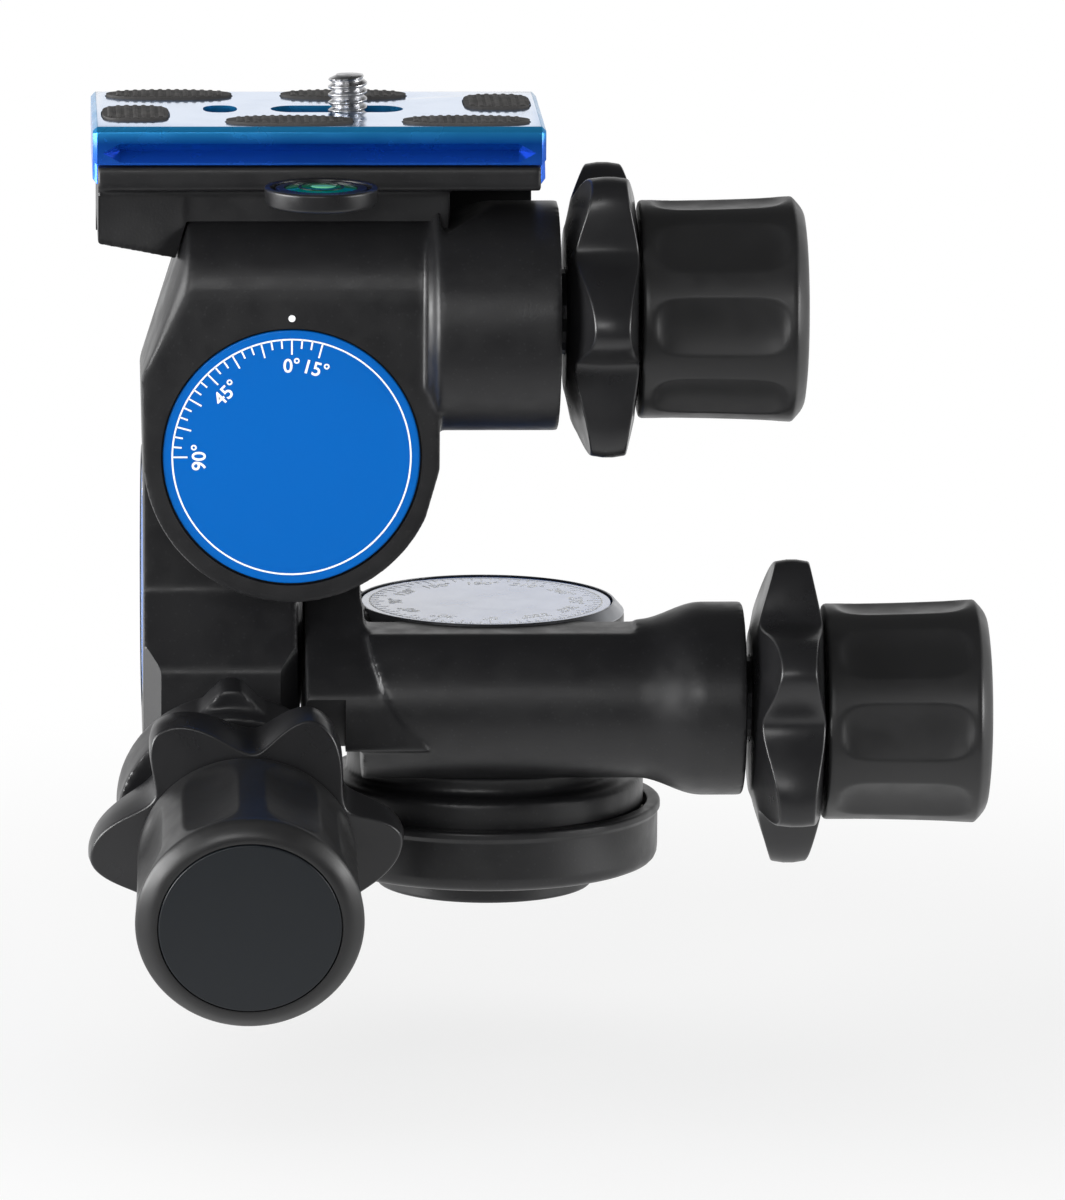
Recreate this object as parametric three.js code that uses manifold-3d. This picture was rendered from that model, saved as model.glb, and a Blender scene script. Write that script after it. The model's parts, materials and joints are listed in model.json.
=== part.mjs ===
// Geared tripod head: pan, tilt and roll, each turned by a worm and worm wheel, under a
// quick-release clamp and camera plate. Millimetres, +Z up. The origin is on the pan axis at
// the underside of the foot. The pan and roll worms run along X, and the tilt knob faces -Y.

import * as THREE from "three";
import { mergeVertices } from "three/addons/utils/BufferGeometryUtils.js";
import Module from "manifold-3d";

const wasm = await Module();
wasm.setup();

const radians = THREE.MathUtils.degToRad;

// Fits and cuts
const fit = 0.3;
const overrun = 2;
const weldDistance = 1e-4;
const coarseSides = 20;
const fineSides = 36;

// Worm gearing, the same on all three axes
const toothCount = 36;
const wheelRadius = 18;
const wormPitchRadius = 3.2;
const addendum = 0.8;
const dedendum = 1.2;
const toothThickness = 1.2;
const flankAngle = radians(20);
const wheelFace = 4;
const wheelHubRadius = 8.6;
const wheelHubRise = 6;
const wheelSeat = 2.8;
const wheelFloorGap = 0.2;
const wormLength = 9;
const wormTail = 3;
const threadStepsPerTurn = 8;

// Axles, nuts and thrust washers
const noseRadius = 4;
const shoulderRadius = 5.5;
const panColumnRadius = 9;
const nutRadius = 7.2;
const nutThickness = 3;
const washerThickness = 0.6;
const washerBorder = 8.2;

// Dials, set into the face of each gear case
const dialRadius = 20.3;
const dialThickness = 1.2;
const dialBossRadius = 5;
const caseRim = 0.3;
const caseWall = 1.8;
const wheelClearance = 0.6;

// Eccentric sleeve that carries the worm and swings it out of mesh
const eccentricity = 2.2;
const sleeveRadius = 6.8;
const sleeveStart = 17;
const shaftRadius = 3;
const boreStart = 10;
const tubeRadius = 12.7;

// Release spring round the sleeve, let into the end of the neck
const springWireRadius = 0.6;
const springTurns = 2.5;
const springLength = 4;
const springStepsPerTurn = 14;
const springWireSides = 5;

// Star collar that turns the sleeve
const collarGap = 1.2;
const collarThickness = 11.4;
const collarTipThickness = 5.2;
const collarTipSetback = 2.6;
const collarTipRadius = 25.2;
const collarWaistRadius = 17.6;
const collarRiseShare = 0.62;
const collarHubRadius = 13;
const collarFaceRadius = 14.5;
const collarFaceWall = 3;
const collarLobes = 6;
const collarAngles = 48;

// Grip knob on the worm shaft
const knobLength = 26.5;
const knobNearRadius = 17.3;
const knobFarRadius = 18.9;
const knobBevel = 1.2;
const knobCrown = 2.4;
const knobFlutes = 8;
const fluteDepth = 1.1;
const fluteHalfAngle = radians(14);
const knobLevelShares = [0, 0.15, 0.5, 0.85];
const knobAngles = 40;
const capRadius = 14.3;
const capThickness = 1.6;

// Base: the foot and ring that stay on the tripod
const footRadius = 17.5;
const footHeight = 4;
const ringRadius = 28.5;
const ringHeight = 10;
const ringEdge = 1.5;
const recessRadius = 26.3;
const recessDepth = 2.5;
const spindleFlangeRadius = 15;
const spindleFlangeThickness = 4.4;
const insertRadius = 7;
const socketRadius = 4.6;
const spindleBoreDepth = 8;
const baseScrewCircle = 11.5;
const baseScrewRadius = 1.5;
const baseScrewHeadRadius = 2.6;
const baseScrewHeadThickness = 2;
const baseScrewLength = 9;
const baseScrewCount = 3;

// Pan gear case, with the tube for its worm and the ear that carries the tilt axle
const skirtRadius = 25.7;
const skirtHeight = 5.6;
const panGearRise = 14;
const panDialHeight = 14;
const panNeckEnd = 40.3;
const panNeckRadius = 15.5;
const panFlareStart = 24;
const panFlareEnd = 33.6;
const panTubeStart = 20.8;
const panTubeTop = 44.3;
const panTubeFlatEnd = 23;
const tubeClipShare = 0.47;
const earReach = 29.9;
const earThickness = 9.1;
const earHubRadius = 14.5;
const earFront = 33.5;
const earFootDrop = 21.6;
const earFootReach = 8.4;
const earFootSink = 6;
const earBrowDrop = 3.1;
const earChinDrop = 10.2;
const earHubSweep = [158, -30];
const earEdgeShares = [[1, 0], [0.44, 0.33], [0.27, 0.49], [0.14, 0.67], [0.05, 0.86], [0, 1]];
const earSwingRadius = 35.8;
const earSwingWidth = 6.6;
const axleSeatDepth = 7;

// Tilt gear case: the arm that carries the roll axis
const tiltRise = 17.8;
const tiltLean = radians(12.8);
const armWidth = 24.6;
const armFloor = 5.4;
const armDrumRadius = 22.4;
const armFront = 29;
const armFrontChamfer = 2.8;
const armLipRadius = 21.5;
const tiltDialHeight = 15.7;
const tiltNeckEnd = 47.6;
const tiltNeckRadius = 18.1;
const tiltTubeStart = 12;
const tiltTubeRadius = 11.5;
const tiltFlareStart = 31.5;
const tiltFlareEnd = 38.5;
const slabFront = 21;
const slabThickness = 13;
const armTopRise = 19;
const armBrowDrop = 9.2;
const armBrowRise = 2.2;
const armSideRise = 32.5;
const armTopAngle = 125;
const armDrumSweep = [110, -62];
const armEdge = 1.2;
const humpHeight = 21.4;
const humpHalfWidth = 8;
const humpFoot = 15.4;
const humpLength = 5.5;
const humpSetback = 3;

// Roll gear case, under the clamp
const rollAcross = 32.6;
const rollRise = 27.8;
const rollFloor = 3.2;
const rollDialHeight = 14;
const rollNeckEnd = 42.3;
const rollNeckRadius = 18.2;
const rollNeckDrop = 0.8;
const rollFlareStart = 20;
const rollFlareEnd = 31;
const rollDrumRadius = 23.4;
const rollCaseTop = 37.7;
const rollCaseRight = 23.4;
const rollCaseLeft = 23.7;
const rollCaseEdge = 1.2;
const rollCaseSweep = [180, 335];
const rollAxleHeadRadius = 9;
const rollAxleHeadThickness = 3;
const rollAxleHexRadius = 3;

// Clamp, jaw and clamp screw
const clampShift = 4.3;
const clampLength = 69.6;
const clampDeckThickness = 4.9;
const clampStripHeight = 3.8;
const keelDepth = 12.6;
const keelEndDepth = 9;
const keelTaper = 14;
const keelInset = 6.2;
const jawThickness = 4.5;
const jawLipWall = 3.2;
const jawTravel = 4;
const clampScrewRadius = 2.5;
const clampScrewDrop = 6.3;
const clampScrewGap = 1;
const clampKnobRadius = 10;
const clampKnobLength = 13;
const clampKnobFlutes = 12;
const clampKnobGrooveShare = 0.1;
const guidePinRadius = 1.5;
const guidePinSpread = 18;
const guidePinGap = 4;

// Round bubble level on the front of the clamp
const levelRadius = 9;
const levelHeight = 3;
const levelWall = 1.4;
const levelFloor = 0.8;
const levelReachShare = 0.93;
const vialCrownShare = 0.6;

// Camera plate with its pads and screw
const plateLength = 71.2;
const plateWidth = 38;
const plateHeight = 9.3;
const plateFlange = 6;
const plateChamfer = 0.8;
const grooveTop = 2.6;
const grooveDepth = 2.4;
const grooveHeight = 3;
const grooveEndMargin = 0.3;
const grooveEndSlope = 4;
const footInset = 3.5;
const footUndercut = 1.7;
const padThickness = 1.1;
const padPocket = 0.5;
const longPadLength = 20;
const longPadWidth = 8;
const shortPadLength = 10.5;
const shortPadWidth = 13.5;
const padSides = 20;
const padMargin = 1.6;
const longPadMargin = 2.4;
const padRowGap = 2.4;
const middlePadShift = 4.6;
const longPadPower = 2.3;
const shortPadPower = 3.5;
const slotLength = 21;
const slotWidth = 7;
const slotShift = 3.2;
const plateHoleShift = 15.3;
const plateHoleLength = 5.4;
const plateHoleWidth = 7.4;
const plateHolePower = 2.5;
const screwShift = 4.9;
const cameraScrewRadius = 3.1;
const cameraScrewRise = 5.6;
const cameraScrewPitch = 1.27;
const cameraScrewThreadDepth = 0.5;
const screwHeadRadius = 6.4;
const screwHeadThickness = 1.6;
const ringWireRadius = 0.5;
const screwRingRadius = 4.6;

// Sizes that follow from the ones above
const centreDistance = wheelRadius + wormPitchRadius;
const wormLead = (2 * Math.PI * wheelRadius) / toothCount;
const wormTipRadius = wormPitchRadius + addendum;
const wormRootRadius = wormPitchRadius - dedendum;
const leadSlope = wormLead / (2 * Math.PI * wormPitchRadius);
const wheelTipRadius = wheelRadius + addendum;
const cavityRadius = wheelTipRadius + wheelClearance;
const cavityFloor = wheelSeat + fit + wheelFloorGap;
const shoulderHeight = wheelSeat + fit;
const recessFit = dialRadius + fit;
const boreRadius = sleeveRadius + fit;
const springRadius = sleeveRadius + springWireRadius + fit;
const springPocketRadius = springRadius + springWireRadius + 2 * fit;
const washerStack = washerThickness + 2 * fit;
const noseTop = wheelHubRise + fit + nutThickness;
const drumRadius = recessFit + caseWall;

const ringTop = footHeight + ringHeight;
const recessFloor = ringTop - recessDepth;
const skirtBottom = recessFloor + washerStack;
const skirtTop = skirtBottom + skirtHeight;
const panHeight = skirtTop + panGearRise;
const tiltHeight = panHeight + tiltRise;
const armInner = earReach + washerStack;
const armOuter = armInner + armWidth;
const tiltAcross = armInner + armFloor + cavityFloor;
const rollHeight = tiltHeight + rollRise;
const rollBack = slabFront + washerStack;
const rollForward = rollBack + rollFloor + cavityFloor;
const rollFace = rollForward + rollDialHeight + caseRim;
const slabBack = slabFront - slabThickness;
const caseTop = rollHeight + rollCaseTop;
const clampX = clampShift - rollAcross;
const deckBottom = caseTop + fit;
const deckTop = deckBottom + clampDeckThickness;
const plateBottom = deckTop + fit;
const plateTop = plateBottom + plateHeight;
const flangeBottom = plateTop - plateFlange;
const jawTop = flangeBottom - fit;
const footNarrow = plateWidth / 2 - footInset;
const footWide = footNarrow + footUndercut;
const plateY = plateWidth / 2 - rollFace + caseRim + fit;
const clampFront = plateY - plateWidth / 2;
const clampBack = plateY + plateWidth / 2;
const bodyBack = clampBack - jawThickness - fit;

// Solids: a closed geometry goes into the boolean library and comes back as a geometry

function solidOf(geometry) {
  const bare = new THREE.BufferGeometry();
  bare.setAttribute("position", geometry.getAttribute("position"));
  if (geometry.index) bare.setIndex(geometry.index);
  const merged = mergeVertices(bare, weldDistance);
  const corners = merged.index.array;
  const kept = [];
  for (let i = 0; i < corners.length; i += 3) {
    const [a, b, c] = corners.slice(i, i + 3);
    if (a !== b && b !== c && c !== a) kept.push(a, b, c);
  }
  return new wasm.Manifold(
    new wasm.Mesh({
      numProp: 3,
      vertProperties: new Float32Array(merged.getAttribute("position").array),
      triVerts: new Uint32Array(kept),
    }),
  );
}

function geometryOf(solid) {
  const mesh = solid.getMesh();
  const geometry = new THREE.BufferGeometry();
  geometry.setAttribute("position", new THREE.BufferAttribute(mesh.vertProperties, 3));
  geometry.setIndex(new THREE.BufferAttribute(mesh.triVerts, 1));
  const flat = geometry.toNonIndexed();
  flat.computeVertexNormals();
  return flat;
}

function join(...solids) {
  return solids.reduce((whole, next) => whole.add(next));
}

function cut(solid, ...tools) {
  return tools.reduce((rest, tool) => rest.subtract(tool), solid);
}

function moved(solid, matrix) {
  return solid.transform(matrix.elements);
}

function shifted(solid, x, y, z) {
  return moved(solid, new THREE.Matrix4().makeTranslation(x, y, z));
}

// A solid of revolution about Z. The profile is [radius, height] and starts and ends on the
// axis, or closes on itself where the piece is a ring.
function turned(profile, sides = fineSides) {
  const geometry = new THREE.LatheGeometry(profile.map(([r, z]) => new THREE.Vector2(r, z)), sides);
  return solidOf(geometry.rotateX(Math.PI / 2));
}

function disc(radius, low, high, sides = fineSides) {
  return turned([[0, low], [radius, low], [radius, high], [0, high]], sides);
}

function shapeOf(outline) {
  return new THREE.Shape(outline.map(([a, b]) => new THREE.Vector2(a, b)));
}

// An outline in the XY plane, raised from low to high, with its edges chamfered by edge
function prism(outline, low, high, edge = 0) {
  const geometry = new THREE.ExtrudeGeometry(shapeOf(outline), {
    depth: high - low - 2 * edge,
    bevelEnabled: edge > 0,
    bevelSegments: 1,
    bevelThickness: edge,
    bevelSize: edge,
    bevelOffset: -edge,
    steps: 1,
  });
  return solidOf(geometry.translate(0, 0, low + edge));
}

// Frames: the columns are the world directions of the local X, Y and Z axes
function frameOf(x, y, z, origin = [0, 0, 0]) {
  const matrix = new THREE.Matrix4().makeBasis(
    new THREE.Vector3(...x),
    new THREE.Vector3(...y),
    new THREE.Vector3(...z),
  );
  return matrix.setPosition(...origin);
}

const frontView = frameOf([1, 0, 0], [0, 0, 1], [0, -1, 0]);
const sideView = frameOf([0, 1, 0], [0, 0, 1], [1, 0, 0]);
const alongX = frameOf([0, 1, 0], [0, 0, 1], [1, 0, 0]);

// A prism whose outline is [x, z], running over y from low to high
function frontPrism(outline, low, high, edge = 0) {
  return moved(prism(outline, -high, -low, edge), frontView);
}

// A prism whose outline is [y, z], running over x from low to high
function sidePrism(outline, low, high, edge = 0) {
  return moved(prism(outline, low, high, edge), sideView);
}

function box(x, y, z) {
  const outline = [[x[0], y[0]], [x[1], y[0]], [x[1], y[1]], [x[0], y[1]]];
  return prism(outline, z[0], z[1]);
}

function arc(centre, radius, from, to, steps) {
  return Array.from({ length: steps + 1 }, (_, i) => {
    const angle = radians(from + ((to - from) * i) / steps);
    return [centre[0] + radius * Math.cos(angle), centre[1] + radius * Math.sin(angle)];
  });
}

// A ring-shaped solid about Z from one closed section for each angle, as [radius, height]
function ringOf(angles, sectionAt) {
  const sections = Array.from({ length: angles }, (_, i) => sectionAt((2 * Math.PI * i) / angles));
  const count = sections[0].length;
  const points = sections.flatMap((section, i) => {
    const angle = (2 * Math.PI * i) / angles;
    return section.flatMap(([r, z]) => [r * Math.cos(angle), r * Math.sin(angle), z]);
  });
  const index = [];
  for (let i = 0; i < angles; i += 1) {
    for (let k = 0; k < count; k += 1) {
      const a = i * count + k;
      const b = i * count + ((k + 1) % count);
      const c = ((i + 1) % angles) * count + ((k + 1) % count);
      const d = ((i + 1) % angles) * count + k;
      index.push(a, d, b, b, d, c);
    }
  }
  const geometry = new THREE.BufferGeometry();
  geometry.setAttribute("position", new THREE.Float32BufferAttribute(points, 3));
  geometry.setIndex(index);
  return solidOf(geometry);
}

// A tube of the given section swept along a list of frames and closed at both ends
function sweptTube(frames, section) {
  const count = section.length;
  const points = frames.flatMap((frame) =>
    section.flatMap(([a, b]) => new THREE.Vector3(a, b, 0).applyMatrix4(frame).toArray()),
  );
  const index = [];
  for (let i = 0; i + 1 < frames.length; i += 1) {
    for (let k = 0; k < count; k += 1) {
      const a = i * count + k;
      const b = i * count + ((k + 1) % count);
      index.push(a, a + count, b, b, a + count, b + count);
    }
  }
  const last = (frames.length - 1) * count;
  for (let k = 1; k + 1 < count; k += 1) {
    index.push(0, k, k + 1, last, last + k + 1, last + k);
  }
  const geometry = new THREE.BufferGeometry();
  geometry.setAttribute("position", new THREE.Float32BufferAttribute(points, 3));
  geometry.setIndex(index);
  return solidOf(geometry);
}

// Frames along a helix about Z: local X points outward and local Y along the axis
function helixFrames(turns, pitch, stepsPerTurn, startAngle) {
  const steps = Math.round(turns * stepsPerTurn);
  return Array.from({ length: steps + 1 }, (_, i) => {
    const turn = (i / stepsPerTurn) * 2 * Math.PI;
    const angle = startAngle + turn;
    const height = pitch * (turn / (2 * Math.PI) - turns / 2);
    return frameOf(
      [Math.cos(angle), Math.sin(angle), 0],
      [0, 0, 1],
      [Math.sin(angle), -Math.cos(angle), 0],
      [0, 0, height],
    );
  });
}

// Materials
function finish(color, roughness, metalness = 0) {
  return new THREE.MeshStandardMaterial({ color, roughness, metalness });
}

const castBlack = finish(0x17181b, 0.6, 0.2);
const gripRubber = finish(0x141416, 0.55);
const capBlack = finish(0x0d0f14, 0.45);
const dialBlue = finish(0x0064b9, 0.25);
const anodisedBlue = finish(0x0a63c4, 0.3, 0.7);
const steel = finish(0xb4b6ba, 0.35, 1);
const brass = finish(0xb08a45, 0.4, 1);
const polymer = finish(0xdad8d0, 0.5);
const padRubber = finish(0x1b1b1c, 0.9);
const levelGreen = finish(0x1fae5c, 0.15);

const head = new THREE.Group();

function addPiece(parent, name, solid, material) {
  const mesh = new THREE.Mesh(geometryOf(solid), material);
  mesh.name = name;
  parent.add(mesh);
}

// Each axis has a local frame with its origin at the centre of the worm wheel: Z points out
// of the dial, X along the worm towards its knob, and the worm lies on the given side in Y.
const leanCos = Math.cos(tiltLean);
const leanSin = Math.sin(tiltLean);
const axes = {
  pan: {
    frame: frameOf([1, 0, 0], [0, 1, 0], [0, 0, 1], [0, 0, panHeight]),
    side: -1,
    dialHeight: panDialHeight,
    neckEnd: panNeckEnd,
    starTurn: radians(36),
    knobTurn: radians(0),
  },
  tilt: {
    frame: frameOf(
      [0, -leanCos, -leanSin],
      [0, -leanSin, leanCos],
      [-1, 0, 0],
      [-tiltAcross, 0, tiltHeight],
    ),
    side: -1,
    dialHeight: tiltDialHeight,
    neckEnd: tiltNeckEnd,
    starTurn: radians(34),
    knobTurn: radians(21),
  },
  roll: {
    frame: frameOf([1, 0, 0], [0, 0, 1], [0, -1, 0], [-rollAcross, -rollForward, rollHeight]),
    side: 1,
    dialHeight: rollDialHeight,
    neckEnd: rollNeckEnd,
    starTurn: radians(29),
    knobTurn: radians(0),
  },
};

// Lines along X in an axis's frame: the worm's, and the neck's that it is eccentric to
function wormLine(axis) {
  return frameOf([0, 1, 0], [0, 0, 1], [1, 0, 0], [0, axis.side * centreDistance, 0]);
}

function neckLine(axis) {
  return frameOf([0, 1, 0], [0, 0, 1], [1, 0, 0], [0, axis.side * centreDistance, eccentricity]);
}

function wormWheel() {
  const rootRadius = wheelRadius - dedendum;
  const step = (2 * Math.PI) / toothCount;
  const halfAt = (radius) =>
    (toothThickness / 2 - (radius - wheelRadius) * Math.tan(flankAngle)) / radius;
  const outline = [];
  for (let tooth = 0; tooth < toothCount; tooth += 1) {
    const middle = Math.PI / 2 + tooth * step;
    const corners = [[rootRadius, -1], [wheelTipRadius, -1], [wheelTipRadius, 1], [rootRadius, 1]];
    for (const [radius, sign] of corners) {
      const angle = middle + sign * halfAt(radius);
      outline.push([radius * Math.cos(angle), radius * Math.sin(angle)]);
    }
  }
  const options = { depth: wheelFace, bevelEnabled: false, steps: 1 };
  const geometry = new THREE.ExtrudeGeometry(shapeOf(outline), options);
  geometry.translate(0, 0, -wheelFace / 2);
  const place = geometry.getAttribute("position");
  const point = new THREE.Vector3();
  const up = new THREE.Vector3(0, 0, 1);
  for (let i = 0; i < place.count; i += 1) {
    point.fromBufferAttribute(place, i);
    point.applyAxisAngle(up, (point.z * leadSlope) / wheelRadius);
    place.setXYZ(i, point.x, point.y, point.z);
  }
  const hub = disc(wheelHubRadius, -wheelSeat, wheelHubRise, coarseSides);
  return cut(
    join(solidOf(geometry), hub),
    disc(noseRadius + fit, -wheelSeat - overrun, wheelHubRise + overrun, coarseSides),
  );
}

function nut() {
  return cut(
    disc(nutRadius, wheelHubRise + fit, noseTop, 6),
    disc(noseRadius + fit, 0, noseTop + overrun, coarseSides),
  );
}

function dial(height) {
  const edge = dialThickness / 4;
  return turned([
    [0, noseTop + fit],
    [dialBossRadius, noseTop + fit],
    [dialBossRadius, height - dialThickness],
    [dialRadius, height - dialThickness],
    [dialRadius, height - edge],
    [dialRadius - edge, height],
    [0, height],
  ]);
}

function thrustWasher(inner, low, outer = inner + washerBorder) {
  const high = low + washerThickness;
  return turned([[inner, low], [outer, low], [outer, high], [inner, high], [inner, low]]);
}

function worm(axis) {
  const halfAt = (radius) => toothThickness / 2 - (radius - wormPitchRadius) * Math.tan(flankAngle);
  const buried = wormRootRadius - wormTail / 10;
  const section = [
    [buried, -halfAt(wormRootRadius)],
    [wormTipRadius, -halfAt(wormTipRadius)],
    [wormTipRadius, halfAt(wormTipRadius)],
    [buried, halfAt(wormRootRadius)],
  ];
  const turns = wormLength / wormLead;
  const facing = axis.side < 0 ? 0 : Math.PI;
  const startAngle = facing - Math.PI * turns + Math.PI;
  const thread = sweptTube(helixFrames(turns, wormLead, threadStepsPerTurn, startAngle), section);
  const shaftEnd = axis.neckEnd + collarGap + collarThickness + knobLength - capThickness - wormTail;
  const core = turned([
    [0, -wormLength / 2 - wormTail],
    [wormRootRadius, -wormLength / 2 - wormTail],
    [wormRootRadius, wormLength / 2 + fit],
    [shaftRadius, wormLength / 2 + wormTail],
    [shaftRadius, shaftEnd],
    [0, shaftEnd],
  ], coarseSides);
  return moved(join(core, thread), wormLine(axis));
}

function wormSleeve(axis) {
  const end = axis.neckEnd + collarGap + collarThickness - collarFaceWall - fit;
  const body = moved(disc(sleeveRadius, sleeveStart, end, coarseSides), neckLine(axis));
  return cut(body, moved(disc(shaftRadius + fit, 0, end + overrun, coarseSides), wormLine(axis)));
}

function releaseSpring(axis) {
  const circle = arc([springRadius, 0], springWireRadius, 0, 360, springWireSides);
  const section = circle.slice(0, springWireSides);
  const pitch = (springLength - 2 * springWireRadius) / springTurns;
  const coil = sweptTube(helixFrames(springTurns, pitch, springStepsPerTurn, 0), section);
  return moved(shifted(coil, 0, 0, axis.neckEnd - springLength / 2), neckLine(axis));
}

// How far out a collar's rim is at an angle: 0 in a valley and 1 on a lobe's tip, which it
// climbs slowly and leaves steeply
function lobeReach(angle, turn) {
  const step = (2 * Math.PI) / collarLobes;
  const rise = step * collarRiseShare;
  const off = ((angle - turn + rise + 2 * Math.PI) % step) - rise;
  const share = off < 0 ? off / rise : off / (step - rise);
  return (1 + Math.cos(Math.PI * share)) / 2;
}

function releaseCollar(axis) {
  const back = axis.neckEnd + collarGap;
  const front = back + collarThickness;
  const edge = collarTipThickness / 5;
  const backSlope = collarThickness - collarTipThickness - collarTipSetback - edge;
  const star = ringOf(collarAngles, (angle) => {
    const reach = lobeReach(angle, axis.starTurn);
    const rim = collarWaistRadius + (collarTipRadius - collarWaistRadius) * reach;
    const rimBack = back + edge + backSlope * reach;
    const rimFront = front - collarTipSetback * reach;
    return [
      [shaftRadius + fit, back],
      [collarHubRadius, back],
      [collarHubRadius + edge, back + edge / 2],
      [rim - edge, rimBack],
      [rim, rimBack + edge],
      [rim, rimFront - edge],
      [rim - edge, rimFront],
      [collarFaceRadius, front],
      [shaftRadius + fit, front],
    ];
  });
  const pocket = disc(sleeveRadius + fit, back - overrun, front - collarFaceWall, coarseSides);
  return cut(moved(star, wormLine(axis)), moved(pocket, neckLine(axis)));
}

function gripKnob(axis) {
  const near = axis.neckEnd + collarGap + collarThickness + fit;
  const far = near + knobLength;
  const rimRadius = capRadius + fit;
  const wallLength = knobLength - knobCrown;
  const grip = ringOf(knobAngles, (angle) => {
    const step = (2 * Math.PI) / knobFlutes;
    const off = Math.abs(((angle - axis.knobTurn + step / 2 + 4 * Math.PI) % step) - step / 2);
    const across = Math.max(0, 1 - (off / fluteHalfAngle) ** 2);
    const wall = knobLevelShares.map((share) => {
      const flare = knobNearRadius + (knobFarRadius - knobNearRadius) * share ** 2;
      const along = Math.sin(Math.PI * share);
      return [flare - fluteDepth * across * along, near + share * wallLength];
    });
    return [
      [shaftRadius + fit, near],
      ...wall,
      [knobFarRadius - knobBevel, far - knobCrown / 2],
      [rimRadius, far],
      [rimRadius, far - capThickness],
      [shaftRadius + fit, far - capThickness],
    ];
  });
  return moved(grip, wormLine(axis));
}

function knobCap(axis) {
  const far = axis.neckEnd + collarGap + collarThickness + fit + knobLength;
  return moved(disc(capRadius, far - capThickness + fit, far, fineSides), wormLine(axis));
}

// What every gear case is cut by: the wheel's well, the dial's recess and the worm's bore
function caseCuts(axis, axleBore, floor) {
  const top = axis.dialHeight + caseRim + overrun;
  const mouth = axis.neckEnd + overrun;
  const bores = [
    disc(boreRadius, -boreStart, mouth, coarseSides),
    disc(springPocketRadius, axis.neckEnd - springLength - fit, mouth, coarseSides),
  ].map((tool) => moved(tool, neckLine(axis)));
  return [
    disc(cavityRadius, -cavityFloor, axis.dialHeight, fineSides),
    disc(recessFit, axis.dialHeight - dialThickness - fit, top, fineSides),
    disc(axleBore, floor, 0, coarseSides),
    ...bores,
  ].map((tool) => moved(tool, axis.frame));
}

// The tube round the worm, widening to the neck that the collar faces
function neckForm(axis, start, tube, flareStart, flareEnd, radius, grow = 0, drop = 0) {
  const end = axis.neckEnd + grow;
  const form = turned([
    [0, start - grow],
    [tube + grow, start - grow],
    [tube + grow, flareStart],
    [radius + grow, flareEnd],
    [radius + grow, end],
    [0, end],
  ]);
  return moved(shifted(moved(form, neckLine(axis)), 0, -drop, 0), axis.frame);
}

function addDrive(key) {
  const axis = axes[key];
  const group = new THREE.Group();
  axis.frame.decompose(group.position, group.quaternion, group.scale);
  head.add(group);
  addPiece(group, `${key}_worm_wheel`, wormWheel(), brass);
  addPiece(group, `${key}_nut`, nut(), steel);
  addPiece(group, `${key}_dial`, dial(axis.dialHeight), dialBlue);
  addPiece(group, `${key}_worm`, worm(axis), steel);
  addPiece(group, `${key}_worm_sleeve`, wormSleeve(axis), steel);
  addPiece(group, `${key}_release_spring`, releaseSpring(axis), steel);
  addPiece(group, `${key}_release_collar`, releaseCollar(axis), castBlack);
  addPiece(group, `${key}_knob`, gripKnob(axis), gripRubber);
  addPiece(group, `${key}_knob_cap`, knobCap(axis), capBlack);
}

// Base

function baseScrewPlaces() {
  return Array.from({ length: baseScrewCount }, (_, i) => {
    const angle = (2 * Math.PI * i) / baseScrewCount + Math.PI / 2;
    return [baseScrewCircle * Math.cos(angle), baseScrewCircle * Math.sin(angle)];
  });
}

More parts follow.
